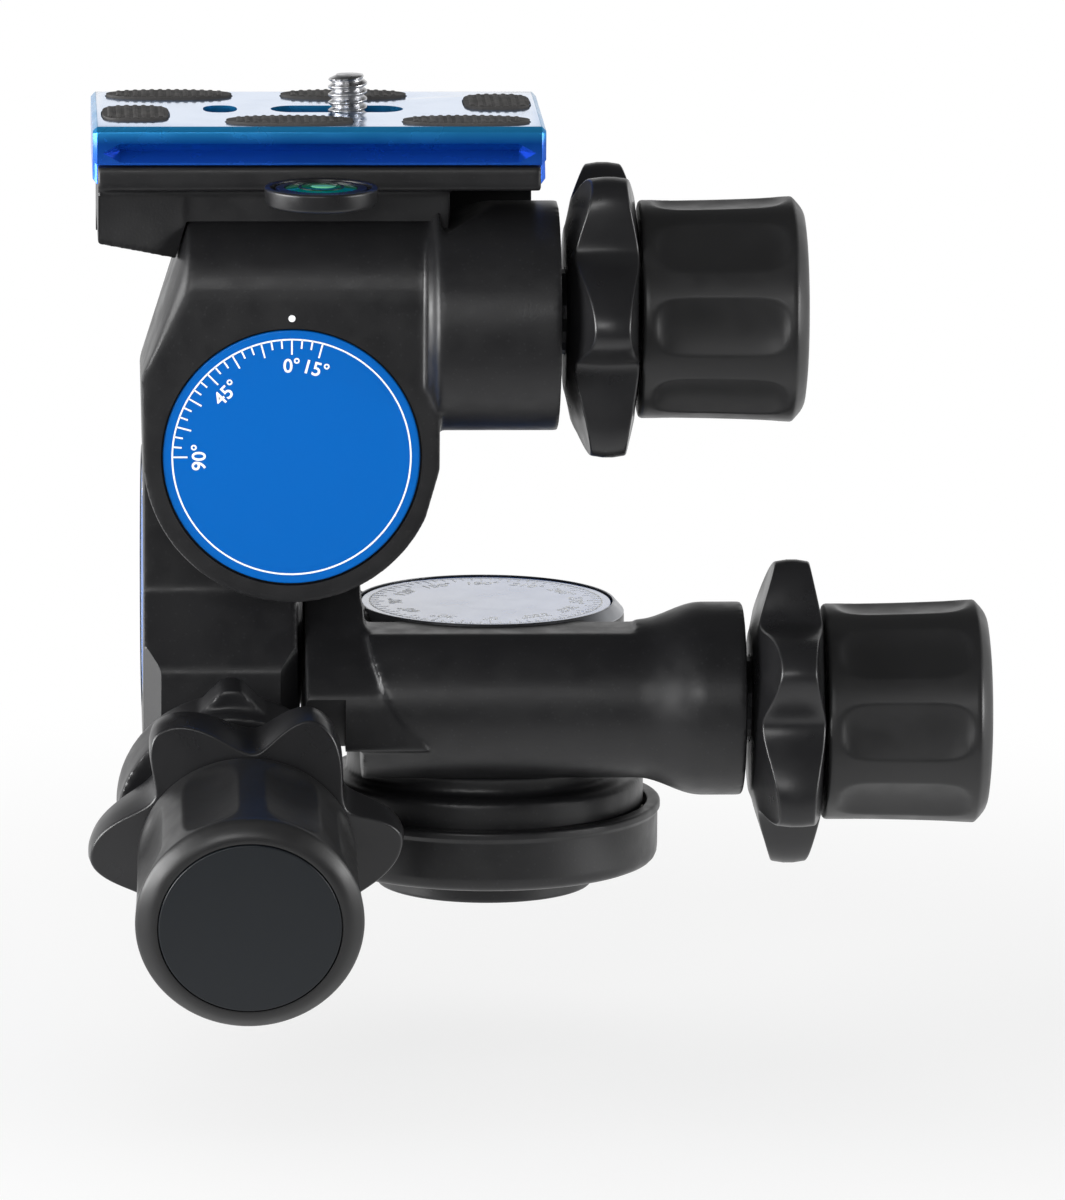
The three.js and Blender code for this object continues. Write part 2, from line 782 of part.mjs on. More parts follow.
function addBase() {
  const pocketFloor = recessFloor - spindleFlangeThickness;
  const pocketRadius = spindleFlangeRadius + fit;
  let housing = turned([
    [0, 0],
    [footRadius - ringEdge / 2, 0],
    [footRadius, ringEdge / 2],
    [footRadius, footHeight],
    [ringRadius - ringEdge, footHeight],
    [ringRadius, footHeight + ringEdge],
    [ringRadius, ringTop - ringEdge],
    [ringRadius - ringEdge / 3, ringTop - ringEdge / 3],
    [ringRadius - ringEdge, ringTop],
    [recessRadius, ringTop],
    [recessRadius, recessFloor],
    [pocketRadius, recessFloor],
    [pocketRadius, pocketFloor],
    [0, pocketFloor],
  ]);
  housing = cut(housing, disc(insertRadius + fit, -overrun, ringTop, coarseSides));
  const flangeLow = pocketFloor + fit;
  const flangeHigh = recessFloor - fit;
  const noseStart = panHeight - shoulderHeight;
  let spindle = turned([
    [0, flangeLow],
    [spindleFlangeRadius, flangeLow],
    [spindleFlangeRadius, flangeHigh],
    [panColumnRadius, flangeHigh],
    [panColumnRadius, noseStart],
    [noseRadius, noseStart],
    [noseRadius, panHeight + noseTop],
    [0, panHeight + noseTop],
  ]);
  spindle = cut(spindle, disc(socketRadius, 0, flangeLow + spindleBoreDepth, coarseSides));
  const headTop = baseScrewHeadThickness + fit;
  const screws = baseScrewPlaces().map(([x, y]) => {
    const screw = turned([
      [0, fit],
      [baseScrewHeadRadius, fit],
      [baseScrewHeadRadius, headTop],
      [baseScrewRadius, headTop],
      [baseScrewRadius, baseScrewLength],
      [0, baseScrewLength],
    ], coarseSides);
    const shank = disc(baseScrewRadius + fit, -overrun, baseScrewLength + fit, coarseSides);
    const counterbore = disc(baseScrewHeadRadius + fit, -overrun, headTop + fit, coarseSides);
    housing = cut(housing, shifted(shank, x, y, 0), shifted(counterbore, x, y, 0));
    spindle = cut(spindle, shifted(shank, x, y, 0));
    return shifted(screw, x, y, 0);
  });
  const insert = turned([
    [socketRadius, fit],
    [insertRadius, fit],
    [insertRadius, pocketFloor],
    [socketRadius, pocketFloor],
    [socketRadius, fit],
  ], coarseSides);
  addPiece(head, "base_housing", housing, castBlack);
  addPiece(head, "thread_insert", insert, steel);
  addPiece(head, "pan_spindle", spindle, steel);
  screws.forEach((screw, i) => addPiece(head, `base_screw_${i + 1}`, screw, steel));
  const washer = thrustWasher(spindleFlangeRadius, recessFloor + fit, recessRadius - 2 * fit);
  addPiece(head, "pan_thrust_washer", washer, polymer);
}

// Pan gear case

// The curved edge of the ear as seen from the front, from its foot up to the tilt axis
function earEdge() {
  const inner = earThickness - earReach;
  const low = panHeight - earFootSink;
  return earEdgeShares.map(([across, up]) => [
    inner - (inner + earFootReach) * across,
    low + (tiltHeight - low) * up,
  ]);
}

// The tube of the pan worm: it ends at the ear's edge and is flat beside the dial
function panTube() {
  const [foot, ...rest] = earEdge();
  const near = [0, 1].map((k) => foot[k] + (rest[0][k] - foot[k]) * tubeClipShare);
  const left = -panTubeStart - overrun;
  const right = axes.pan.neckEnd + overrun;
  const front = -centreDistance - 2 * tubeRadius;
  const beside = frontPrism([
    [left, panHeight - 2 * tubeRadius],
    [right, panHeight - 2 * tubeRadius],
    [right, tiltHeight],
    ...rest.reverse(),
    near,
    [left, near[1]],
  ], front, 0);
  const above = box([left, panTubeFlatEnd], [front, 0], [panTubeTop, tiltHeight]);
  const tube = neckForm(axes.pan, -panTubeStart, tubeRadius, panFlareStart, panFlareEnd, panNeckRadius);
  return cut(tube.intersect(beside), above);
}

function panEar() {
  const foot = tiltHeight - earFootDrop;
  const inner = earThickness - earReach;
  const front = frontPrism([
    [-earReach, foot],
    ...earEdge(),
    [inner, tiltHeight + earHubRadius + overrun],
    [-earReach, tiltHeight + earHubRadius + overrun],
  ], -earFront, drumRadius);
  const side = sidePrism([
    [-earFront, foot - overrun],
    [-earFront, tiltHeight - earChinDrop],
    [-slabFront, tiltHeight - earBrowDrop],
    ...arc([0, tiltHeight], earHubRadius, ...earHubSweep, 14),
    [earHubRadius, foot - overrun],
  ], -earReach - overrun, 0);
  const swing = moved(disc(earSwingRadius, -earReach - overrun, earSwingWidth - earReach), alongX);
  const beside = box([earSwingWidth - earReach - fit, 0], [-earFront, drumRadius], [0, rollHeight]);
  return front.intersect(side).intersect(join(shifted(swing, 0, 0, tiltHeight), beside));
}

function addPanCase() {
  const axis = axes.pan;
  const topZ = panHeight + panDialHeight + caseRim;
  const form = join(
    disc(skirtRadius, skirtBottom, skirtTop),
    disc(drumRadius, skirtTop - overrun, topZ),
    panTube(),
    panEar(),
  );
  const below = skirtBottom - overrun - panHeight;
  const seat = moved(disc(shoulderRadius + fit, 0, axleSeatDepth + overrun), alongX);
  const axleSeat = shifted(seat, -earReach - overrun, 0, tiltHeight);
  const housing = cut(form, ...caseCuts(axis, panColumnRadius + fit, below), axleSeat);
  addPiece(head, "pan_housing", housing, castBlack);
  const axle = turned([
    [0, -tiltAcross + earReach - axleSeatDepth + fit],
    [shoulderRadius, -tiltAcross + earReach - axleSeatDepth + fit],
    [shoulderRadius, -shoulderHeight],
    [noseRadius, -shoulderHeight],
    [noseRadius, noseTop],
    [0, noseTop],
  ], coarseSides);
  addPiece(head, "tilt_axle", moved(axle, axes.tilt.frame), steel);
}

// Tilt gear case: the arm

function addArm() {
  const axis = axes.tilt;
  const rollX = -rollAcross;
  const armTop = rollHeight + armTopRise;
  const profile = [
    [-armFront, tiltHeight - centreDistance - tubeRadius / 2],
    [-armFront, tiltHeight - armBrowDrop],
    [-slabFront, tiltHeight + armBrowRise],
    [-slabFront, armTop],
    [-slabBack, armTop],
    ...arc([0, tiltHeight], armDrumRadius, ...armDrumSweep, 20),
  ];
  const slabFoot = tiltHeight + earHubRadius + fit;
  const footAngle = THREE.MathUtils.radToDeg(Math.asin((slabFoot - rollHeight) / armTopRise));
  const across = [
    [-armOuter, tiltHeight - armDrumRadius - tubeRadius],
    [-armInner, tiltHeight - armDrumRadius - tubeRadius],
    [-armInner, slabFoot],
    ...arc([rollX, rollHeight], armTopRise, footAngle, armTopAngle, 10),
    [-armOuter, tiltHeight + armSideRise],
  ];
  const body = sidePrism(profile, -armOuter, rollX + armTopRise, armEdge);
  const slab = frontPrism(across, -armFront - overrun, armDrumRadius + overrun);
  const humpEnd = axis.neckEnd - humpSetback;
  const hump = prism([
    [-humpHalfWidth, humpFoot],
    [humpHalfWidth, humpFoot],
    [humpHalfWidth / 3, humpHeight - humpHalfWidth / 4],
    [humpHalfWidth / 8, humpHeight],
    [-humpHalfWidth / 8, humpHeight],
    [-humpHalfWidth / 3, humpHeight - humpHalfWidth / 4],
  ].map(([w, v]) => [v, w]).reverse(), humpEnd - humpLength, humpEnd);
  const chamfers = [[-armOuter, 1], [-armInner, -1]].map(([x, way]) => prism([
    [x - way * overrun, -armFront - overrun],
    [x + way * (armFrontChamfer + overrun), -armFront - overrun],
    [x - way * overrun, -armFront + armFrontChamfer + overrun],
  ], 0, slabFoot));
  const lipFoot = armInner - tiltAcross;
  const lip = cut(
    disc(armLipRadius, lipFoot - washerStack + fit, lipFoot + overrun),
    disc(shoulderRadius + washerBorder + 2 * fit, lipFoot - washerStack, lipFoot),
  );
  const form = join(
    cut(body.intersect(slab), ...chamfers),
    moved(lip, axis.frame),
    neckForm(axis, -tiltTubeStart, tiltTubeRadius, tiltFlareStart, tiltFlareEnd, tiltNeckRadius),
    moved(moved(hump, neckLine(axis)), axis.frame),
  );
  const headEnd = slabBack - rollForward + rollAxleHeadThickness + fit;
  const rollBores = [
    disc(shoulderRadius + fit, -rollForward, slabThickness, coarseSides),
    disc(rollAxleHeadRadius + fit, -rollForward, headEnd, coarseSides),
  ].map((tool) => moved(tool, axes.roll.frame));
  const wall = -(tiltAcross - armInner) - overrun;
  const housing = cut(form, ...caseCuts(axis, shoulderRadius + fit, wall), ...rollBores);
  addPiece(head, "tilt_arm", housing, castBlack);
  const washer = thrustWasher(shoulderRadius + fit, armInner - tiltAcross - washerThickness - fit);
  addPiece(head, "tilt_thrust_washer", moved(washer, axis.frame), polymer);
  const headFace = slabBack - rollForward;
  const axle = turned([
    [0, headFace],
    [rollAxleHeadRadius, headFace],
    [rollAxleHeadRadius, headFace + rollAxleHeadThickness],
    [shoulderRadius, headFace + rollAxleHeadThickness],
    [shoulderRadius, -shoulderHeight],
    [noseRadius, -shoulderHeight],
    [noseRadius, noseTop],
    [0, noseTop],
  ], coarseSides);
  const hexSocket = disc(rollAxleHexRadius, headFace - overrun, headFace + rollAxleHeadThickness, 6);
  addPiece(head, "roll_axle", moved(cut(axle, hexSocket), axes.roll.frame), steel);
}

// Roll gear case

function rollForm(grow) {
  const axis = axes.roll;
  const centre = [-rollAcross, rollHeight];
  const left = -rollAcross - rollCaseLeft - grow;
  const right = -rollAcross + rollCaseRight + grow;
  const top = caseTop + grow;
  const shoulder = rollCaseTop / 3;
  const outline = [
    [right, top - eccentricity / 2],
    [centre[0], top],
    [left + rollCaseLeft / 3, top],
    [left, rollHeight + shoulder],
    ...arc(centre, rollDrumRadius + grow, ...rollCaseSweep, 20),
    [right, rollHeight - eccentricity],
  ];
  const across = frontPrism(outline, -rollFace - grow, -rollBack + grow, rollCaseEdge);
  const rearCurve = tubeRadius / 2;
  const profile = sidePrism([
    [-rollFace - grow, rollHeight - rollCaseTop],
    [-rollBack + grow, rollHeight - rollCaseTop],
    ...arc([-rollBack + grow - rearCurve, top - rearCurve], rearCurve, 0, 90, 4),
    ...arc([-rollFace - grow + tubeRadius, top - tubeRadius], tubeRadius, 90, 180, 6),
  ], left - overrun, right + overrun);
  const flare = [rollFlareStart, rollFlareEnd, rollNeckRadius];
  const neck = neckForm(axis, 0, tubeRadius, ...flare, grow, rollNeckDrop);
  const behind = frontPrism([
    [left, rollHeight - overrun],
    [rollCaseRight - rollAcross - grow, rollHeight - overrun],
    [rollCaseRight - rollAcross - grow, top + overrun],
    [left, top + overrun],
  ], -rollBack + grow, 0);
  return join(across.intersect(profile), cut(neck, behind));
}

function addRollCase() {
  const axis = axes.roll;
  const wall = -(cavityFloor + rollFloor) - overrun;
  const housing = cut(rollForm(0), ...caseCuts(axis, shoulderRadius + fit, wall));
  addPiece(head, "roll_housing", housing, castBlack);
  const washer = thrustWasher(shoulderRadius + fit, -cavityFloor - rollFloor - fit - washerThickness);
  addPiece(head, "roll_thrust_washer", moved(washer, axis.frame), polymer);
}

// Clamp

function alongYAt(solid, x, z) {
  return shifted(moved(solid, frameOf([0, 0, 1], [1, 0, 0], [0, 1, 0])), x, 0, z);
}

function addClamp() {
  const left = clampX - clampLength / 2;
  const right = clampX + clampLength / 2;
  const screwZ = deckTop - clampScrewDrop;
  const jawUndercut = plateY - footWide - fit;
  const jawLip = plateY - footNarrow - fit;
  const stripBottom = jawTop - clampStripHeight;
  const deck = sidePrism([
    [clampFront, stripBottom],
    [bodyBack, deckBottom],
    [bodyBack, deckTop],
    [jawUndercut, deckTop],
    [jawUndercut, plateBottom],
    [jawLip, jawTop],
    [clampFront, jawTop],
  ], left, right);
  const keelFront = frontPrism([
    [left, deckTop - fit],
    [left, deckTop - keelEndDepth],
    [left + keelTaper, deckTop - keelDepth],
    [right - keelTaper, deckTop - keelDepth],
    [right, deckTop - keelEndDepth],
    [right, deckTop - fit],
  ], clampFront + fit, bodyBack);
  const keelPlan = prism([
    [left - overrun, clampFront + fit],
    [left, clampFront + fit],
    [left + keelTaper, clampFront + keelInset],
    [right - keelTaper, clampFront + keelInset],
    [right, clampFront + fit],
    [right + overrun, clampFront + fit],
    [right + overrun, bodyBack + overrun],
    [left - overrun, bodyBack + overrun],
  ], deckTop - keelDepth - overrun, deckTop);
  const pinPlaces = [-guidePinSpread, guidePinSpread].map((spread) => clampX + spread);
  const screwStart = clampScrewGap - rollBack;
  const pinStart = guidePinGap - rollBack;
  const screwBore = (start) =>
    alongYAt(disc(clampScrewRadius + fit, start, clampBack + overrun, coarseSides), clampX, screwZ);
  const pinBores = (start) =>
    pinPlaces.map((x) =>
      alongYAt(disc(guidePinRadius + fit, start, clampBack + overrun, coarseSides), x, screwZ));
  const body = cut(
    join(deck, keelFront.intersect(keelPlan)),
    rollForm(fit),
    screwBore(screwStart - fit),
    ...pinBores(pinStart - fit),
  );
  addPiece(head, "clamp_body", body, castBlack);
  const jaw = sidePrism([
    [clampBack - jawThickness, deckTop - keelDepth + fit],
    [clampBack, deckTop - keelDepth + fit],
    [clampBack, jawTop],
    [plateY + footNarrow + fit, jawTop],
    [plateY + footWide + fit, plateBottom],
    [plateY + footWide + fit, deckTop],
    [clampBack - jawThickness, deckTop],
  ], left, right);
  addPiece(head, "clamp_jaw", cut(jaw, screwBore(screwStart), ...pinBores(pinStart)), castBlack);
  pinPlaces.forEach((x, i) => {
    const pin = disc(guidePinRadius, pinStart, clampBack, coarseSides);
    addPiece(head, `jaw_guide_pin_${i + 1}`, alongYAt(pin, x, screwZ), steel);
  });
  const knobNear = clampBack + fit;
  const knobFar = knobNear + clampKnobLength;
  const screw = disc(clampScrewRadius, screwStart, knobFar - clampScrewRadius, coarseSides);
  addPiece(head, "clamp_screw", alongYAt(screw, clampX, screwZ), steel);
  const knob = ringOf(knobAngles, (angle) => {
    const groove = Math.max(0, Math.cos(clampKnobFlutes * angle));
    const radius = clampKnobRadius * (1 - clampKnobGrooveShare * groove);
    const edge = clampKnobRadius / 10;
    return [
      [clampScrewRadius + fit, knobNear],
      [radius - edge, knobNear],
      [radius, knobNear + edge],
      [radius, knobFar - edge],
      [radius - edge, knobFar],
      [clampScrewRadius + fit, knobFar],
    ];
  });
  addPiece(head, "clamp_knob", alongYAt(knob, clampX, screwZ), gripRubber);
}

function addLevel() {
  const y = clampFront - fit - levelRadius * levelReachShare;
  const top = (jawTop + deckTop) / 2;
  const bottom = top - levelHeight;
  const cup = turned([
    [0, bottom],
    [levelRadius - levelWall / 2, bottom],
    [levelRadius, bottom + levelWall / 2],
    [levelRadius, top],
    [levelRadius - levelWall, top],
    [levelRadius - levelWall, bottom + levelFloor],
    [0, bottom + levelFloor],
  ]);
  const behind = box(
    [-levelRadius, levelRadius],
    [levelRadius * levelReachShare, levelRadius + overrun],
    [bottom - overrun, top + overrun],
  );
  addPiece(head, "level_cup", shifted(cut(cup, behind), clampX, y, 0), castBlack);
  const vialRadius = levelRadius - levelWall - fit;
  const vial = turned([
    [0, bottom + levelFloor + fit],
    [vialRadius, bottom + levelFloor + fit],
    [vialRadius, top - levelWall / 2],
    [vialRadius * vialCrownShare, top - levelWall / 4],
    [0, top - levelWall / 8],
  ], coarseSides);
  addPiece(head, "level_vial", shifted(vial, clampX, y, 0), levelGreen);
}

// Camera plate

// A rounded outline: an ellipse at power 2, squarer above it
function oval(length, width, power) {
  return Array.from({ length: padSides }, (_, i) => {
    const angle = (2 * Math.PI * i) / padSides;
    const c = Math.cos(angle);
    const s = Math.sin(angle);
    return [
      (length / 2) * Math.sign(c) * Math.abs(c) ** (2 / power),
      (width / 2) * Math.sign(s) * Math.abs(s) ** (2 / power),
    ];
  });
}

function slotOutline(length, width) {
  const run = (length - width) / 2;
  return [...arc([run, 0], width / 2, -90, 90, 10), ...arc([-run, 0], width / 2, 90, 270, 10)];
}

function padPlaces() {
  const outerX = plateLength / 2 - shortPadLength / 2 - padMargin;
  const longX = plateLength / 2 - longPadLength / 2 - longPadMargin;
  const longY = plateWidth / 2 - longPadWidth / 2 - padMargin;
  const shortY = plateWidth / 2 - shortPadWidth / 2 - longPadWidth / 2 - padRowGap;
  const longPad = { y: longY, size: [longPadLength, longPadWidth], power: longPadPower };
  const halves = [
    { ...longPad, x: -longX },
    { ...longPad, x: middlePadShift },
    { x: -outerX, y: -shortY, size: [shortPadLength, shortPadWidth], power: shortPadPower },
  ];
  return halves.flatMap((pad) => [pad, { ...pad, x: -pad.x, y: -pad.y }]);
}

// The groove along each side of the plate, closed by a slope at both ends
function grooveCutter(sign) {
  const outer = plateWidth / 2 + grooveDepth / 2;
  const inner = plateWidth / 2 - grooveDepth;
  const half = plateLength / 2 - grooveEndMargin;
  const spread = (grooveHeight / 2) * ((outer - inner) / grooveDepth);
  const middle = -grooveTop - grooveHeight / 2;
  const points = [-1, 1].flatMap((end) => [
    end * half, sign * outer, middle,
    end * (half - grooveEndSlope), sign * outer, middle - spread,
    end * (half - grooveEndSlope), sign * outer, middle + spread,
    end * (half - grooveEndSlope), sign * inner, middle,
  ]);
  const tips = [0, 1, 2, 0, 2, 3, 0, 3, 1, 4, 6, 5, 4, 7, 6, 4, 5, 7];
  const sides = [1, 5, 6, 1, 6, 2, 2, 6, 7, 2, 7, 3, 3, 7, 5, 3, 5, 1];
  const faces = [...tips, ...sides];
  const geometry = new THREE.BufferGeometry();
  geometry.setAttribute("position", new THREE.Float32BufferAttribute(points, 3));
  geometry.setIndex(sign < 0 ? faces : faces.toReversed());
  return shifted(solidOf(geometry), clampX, plateY, plateTop);
}

function addPlate() {
  const half = plateWidth / 2;
  const rightSide = [
    [half - plateChamfer, plateTop],
    [half, plateTop - plateChamfer],
    [half, flangeBottom],
    [footNarrow, flangeBottom],
    [footWide, plateBottom],
  ];
  const leftSide = rightSide.toReversed().map(([y, z]) => [-y, z]);
  const outline = [...rightSide, ...leftSide].map(([y, z]) => [plateY + y, z]);
  const halfLength = plateLength / 2;
  let plate = sidePrism(outline.toReversed(), clampX - halfLength, clampX + halfLength);
  const headRoom = screwHeadRadius + fit;
  const headTop = plateBottom + ringWireRadius * 2 + screwHeadThickness + 2 * fit;
  const low = plateBottom - overrun;
  const high = plateTop + overrun;
  const hole = oval(plateHoleLength, plateHoleWidth, plateHolePower);
  const headSlot = slotOutline(slotLength - slotWidth + 2 * headRoom, 2 * headRoom);
  const through = [
    shifted(prism(slotOutline(slotLength, slotWidth), low, high), slotShift, 0, 0),
    shifted(prism(hole, low, high), -plateHoleShift, 0, 0),
    shifted(prism(headSlot, low, headTop + fit), slotShift, 0, 0),
  ].map((tool) => shifted(tool, clampX, plateY, 0));
  plate = cut(plate, grooveCutter(1), grooveCutter(-1), ...through);
  const padTop = plateTop - padPocket + padThickness;
  const pads = padPlaces().map(({ x, y, size, power }) => {
    const grown = oval(size[0] + 2 * fit, size[1] + 2 * fit, power);
    const pocket = prism(grown, plateTop - padPocket - fit, padTop + overrun);
    plate = cut(plate, shifted(pocket, clampX + x, plateY + y, 0));
    const pad = prism(oval(...size, power), plateTop - padPocket, padTop);
    return shifted(pad, clampX + x, plateY + y, 0);
  });
  addPiece(head, "camera_plate", plate, anodisedBlue);
  pads.forEach((pad, i) => addPiece(head, `plate_pad_${i + 1}`, pad, padRubber));
  const headBottom = headTop - screwHeadThickness;
  const top = plateTop + cameraScrewRise;
  const grooves = Math.floor(cameraScrewRise / cameraScrewPitch);
  const root = cameraScrewRadius - cameraScrewThreadDepth;
  const threads = Array.from({ length: grooves }, (_, i) => {
    const low = plateTop + i * cameraScrewPitch;
    return [[cameraScrewRadius, low], [root, low + cameraScrewPitch / 2]];
  }).flat();
  const screw = turned([
    [0, headBottom],
    [screwHeadRadius, headBottom],
    [screwHeadRadius, headTop],
    [cameraScrewRadius, headTop],
    ...threads,
    [cameraScrewRadius, plateTop + grooves * cameraScrewPitch],
    [root, top],
    [0, top],
  ], coarseSides);
  const screwX = clampX + screwShift;
  addPiece(head, "camera_screw", shifted(screw, screwX, plateY, 0), steel);
  const ringHigh = headBottom - fit;
  const ringLow = ringHigh - 2 * ringWireRadius;
  const ring = turned([
    [screwRingRadius - ringWireRadius, ringLow],
    [screwRingRadius + ringWireRadius, ringLow],
    [screwRingRadius + ringWireRadius, ringHigh],
    [screwRingRadius - ringWireRadius, ringHigh],
    [screwRingRadius - ringWireRadius, ringLow],
  ], coarseSides);
  addPiece(head, "screw_ring", shifted(ring, screwX, plateY, 0), steel);
}

addBase();
addPanCase();
addArm();
addRollCase();
for (const key of Object.keys(axes)) addDrive(key);
addClamp();
addLevel();
addPlate();

export default head;
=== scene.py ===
import json
import math
import bmesh
import bpy
from mathutils import Matrix, Vector


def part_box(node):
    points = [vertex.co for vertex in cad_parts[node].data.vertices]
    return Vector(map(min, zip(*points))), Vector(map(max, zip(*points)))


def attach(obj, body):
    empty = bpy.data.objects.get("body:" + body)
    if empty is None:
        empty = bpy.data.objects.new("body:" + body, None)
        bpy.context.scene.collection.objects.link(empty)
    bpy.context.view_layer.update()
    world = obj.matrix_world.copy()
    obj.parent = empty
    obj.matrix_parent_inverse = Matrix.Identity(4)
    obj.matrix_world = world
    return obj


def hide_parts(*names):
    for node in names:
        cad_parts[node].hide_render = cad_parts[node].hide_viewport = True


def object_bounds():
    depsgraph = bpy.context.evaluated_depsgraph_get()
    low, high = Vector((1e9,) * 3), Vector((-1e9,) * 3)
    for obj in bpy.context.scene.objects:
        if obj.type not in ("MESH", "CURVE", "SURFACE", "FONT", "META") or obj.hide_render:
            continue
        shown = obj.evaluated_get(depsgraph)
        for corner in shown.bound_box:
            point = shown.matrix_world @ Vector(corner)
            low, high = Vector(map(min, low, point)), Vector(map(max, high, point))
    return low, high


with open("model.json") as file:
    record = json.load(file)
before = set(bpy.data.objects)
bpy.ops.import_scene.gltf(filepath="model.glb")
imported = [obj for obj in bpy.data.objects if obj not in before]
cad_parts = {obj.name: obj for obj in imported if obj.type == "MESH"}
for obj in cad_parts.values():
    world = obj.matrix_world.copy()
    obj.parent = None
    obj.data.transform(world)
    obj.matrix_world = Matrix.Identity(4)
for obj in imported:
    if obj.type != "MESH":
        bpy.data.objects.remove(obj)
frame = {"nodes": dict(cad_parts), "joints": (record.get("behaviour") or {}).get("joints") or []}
cad_low, cad_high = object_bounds()
nodes = frame["nodes"]
joints = {joint["name"]: joint for joint in frame["joints"]}

# Camera: a long lens from a little left of the front, looking slightly down on the head, as in
# a catalogue picture. The target is a point inside the head.
camera_place = Vector((-0.0798209, -1.8532584, 0.4137596))
camera_target = Vector((0.0079768, 0.0084873, 0.0447143))
camera_roll = math.radians(0.4)
camera_lens = 350.55
back = (camera_place - camera_target).normalized()
level_right = Vector((0, 0, 1)).cross(back).normalized()
level_up = back.cross(level_right)
right = level_right * math.cos(camera_roll) + level_up * math.sin(camera_roll)
up = level_up * math.cos(camera_roll) - level_right * math.sin(camera_roll)
camera = bpy.data.objects.new("camera", bpy.data.cameras.new("camera"))
camera.data.lens = camera_lens
camera.data.sensor_width = 36
camera.data.clip_start = 0.05
camera.data.clip_end = 20
camera.matrix_world = Matrix.Translation(camera_place) @ Matrix((right, up, back)).transposed().to_4x4()
bpy.context.scene.collection.objects.link(camera)
bpy.context.scene.camera = camera

# Studio: a white floor and backdrop, three softboxes, and a world that is white to the eye and
# in reflections and dimmer as light. The floor lies low enough for the tilt knob at full tilt.
scene = bpy.context.scene
scene.view_settings.view_transform = "Standard"
floor_size = 6
floor_gap = 0.0195
white_start = 0.1
white_full = 0.28
white_near = 0.62
world_light = 0.62
ceiling_share = 0.05
front_share = 0.07
front_floor = (-0.18, -0.06)
ceiling_fade = (0.25, 0.6)
front_fade = (-0.75, -0.2)
floor_white = (0.9, 0.9, 0.9, 1)


def nodes_of(material):
    material.use_nodes = True
    tree = material.node_tree
    return tree, tree.nodes, tree.links


def seen_as_white(tree):
    path = tree.nodes.new("ShaderNodeLightPath")
    first = tree.nodes.new("ShaderNodeMath")
    first.operation = "MAXIMUM"
    second = tree.nodes.new("ShaderNodeMath")
    second.operation = "MAXIMUM"
    tree.links.new(path.outputs["Is Camera Ray"], first.inputs[0])
    tree.links.new(path.outputs["Is Glossy Ray"], first.inputs[1])
    tree.links.new(first.outputs[0], second.inputs[0])
    tree.links.new(path.outputs["Is Transmission Ray"], second.inputs[1])
    return second.outputs[0]


world = bpy.data.worlds.new("studio")
scene.world = world
tree, parts, links = nodes_of(world)
parts.clear()
dim = parts.new("ShaderNodeBackground")
bright = parts.new("ShaderNodeBackground")
for part in (dim, bright):
    part.inputs["Color"].default_value = (1, 1, 1, 1)
dim.inputs["Strength"].default_value = world_light
toward = parts.new("ShaderNodeTexCoord")
split = parts.new("ShaderNodeSeparateXYZ")
links.new(toward.outputs["Generated"], split.inputs[0])
ceiling = parts.new("ShaderNodeMapRange")
front_wall = parts.new("ShaderNodeMapRange")
walls = [(ceiling, "Z", ceiling_fade + (1, ceiling_share)), (front_wall, "Y", front_fade + (front_share, 1))]
for part, axis, values in walls:
    for key, value in zip(("From Min", "From Max", "To Min", "To Max"), values):
        part.inputs[key].default_value = value
    links.new(split.outputs[axis], part.inputs["Value"])
room = parts.new("ShaderNodeMath")
room.operation = "MULTIPLY"
links.new(ceiling.outputs[0], room.inputs[0])
links.new(front_wall.outputs[0], room.inputs[1])
path = parts.new("ShaderNodeLightPath")
shown = parts.new("ShaderNodeMath")
shown.operation = "MAXIMUM"
links.new(path.outputs["Is Camera Ray"], shown.inputs[0])
links.new(room.outputs[0], shown.inputs[1])
links.new(shown.outputs[0], bright.inputs["Strength"])
blend = parts.new("ShaderNodeMixShader")
out = parts.new("ShaderNodeOutputWorld")
links.new(seen_as_white(tree), blend.inputs["Fac"])
links.new(dim.outputs[0], blend.inputs[1])
links.new(bright.outputs[0], blend.inputs[2])
links.new(blend.outputs[0], out.inputs["Surface"])

floor_mesh = bpy.data.meshes.new("floor")
half = floor_size / 2
floor_z = cad_low.z - floor_gap
floor_corners = [(x * half, y * half, floor_z) for x, y in ((-1, -1), (1, -1), (1, 1), (-1, 1))]
floor_mesh.from_pydata(floor_corners, [], [(0, 1, 2, 3)])
floor = bpy.data.objects.new("floor", floor_mesh)
scene.collection.objects.link(floor)
floor_material = bpy.data.materials.new("white_floor")
tree, parts, links = nodes_of(floor_material)
matt = parts["Principled BSDF"]
matt.inputs["Base Color"].default_value = floor_white
matt.inputs["Roughness"].default_value = 0.9
matt.inputs["Specular IOR Level"].default_value = 0.1
coords = parts.new("ShaderNodeTexCoord")
distance = parts.new("ShaderNodeVectorMath")
distance.operation = "LENGTH"
fade = parts.new("ShaderNodeMapRange")
fade.interpolation_type = "SMOOTHSTEP"
fade.inputs["From Min"].default_value = white_start
fade.inputs["From Max"].default_value = white_full
fade.inputs["To Min"].default_value = white_near
glow = parts.new("ShaderNodeEmission")
split = parts.new("ShaderNodeSeparateXYZ")
nearness = parts.new("ShaderNodeMapRange")
nearness.inputs["From Min"].default_value = front_floor[0]
nearness.inputs["From Max"].default_value = front_floor[1]
nearness.inputs["To Min"].default_value = front_share
path = parts.new("ShaderNodeLightPath")
shown = parts.new("ShaderNodeMath")
shown.operation = "MAXIMUM"
links.new(coords.outputs["Object"], split.inputs[0])
links.new(split.outputs["Y"], nearness.inputs["Value"])
links.new(nearness.outputs[0], shown.inputs[0])
links.new(path.outputs["Is Camera Ray"], shown.inputs[1])
links.new(shown.outputs[0], glow.inputs["Strength"])
share = parts.new("ShaderNodeMath")
share.operation = "MULTIPLY"
blend = parts.new("ShaderNodeMixShader")
links.new(coords.outputs["Object"], distance.inputs[0])
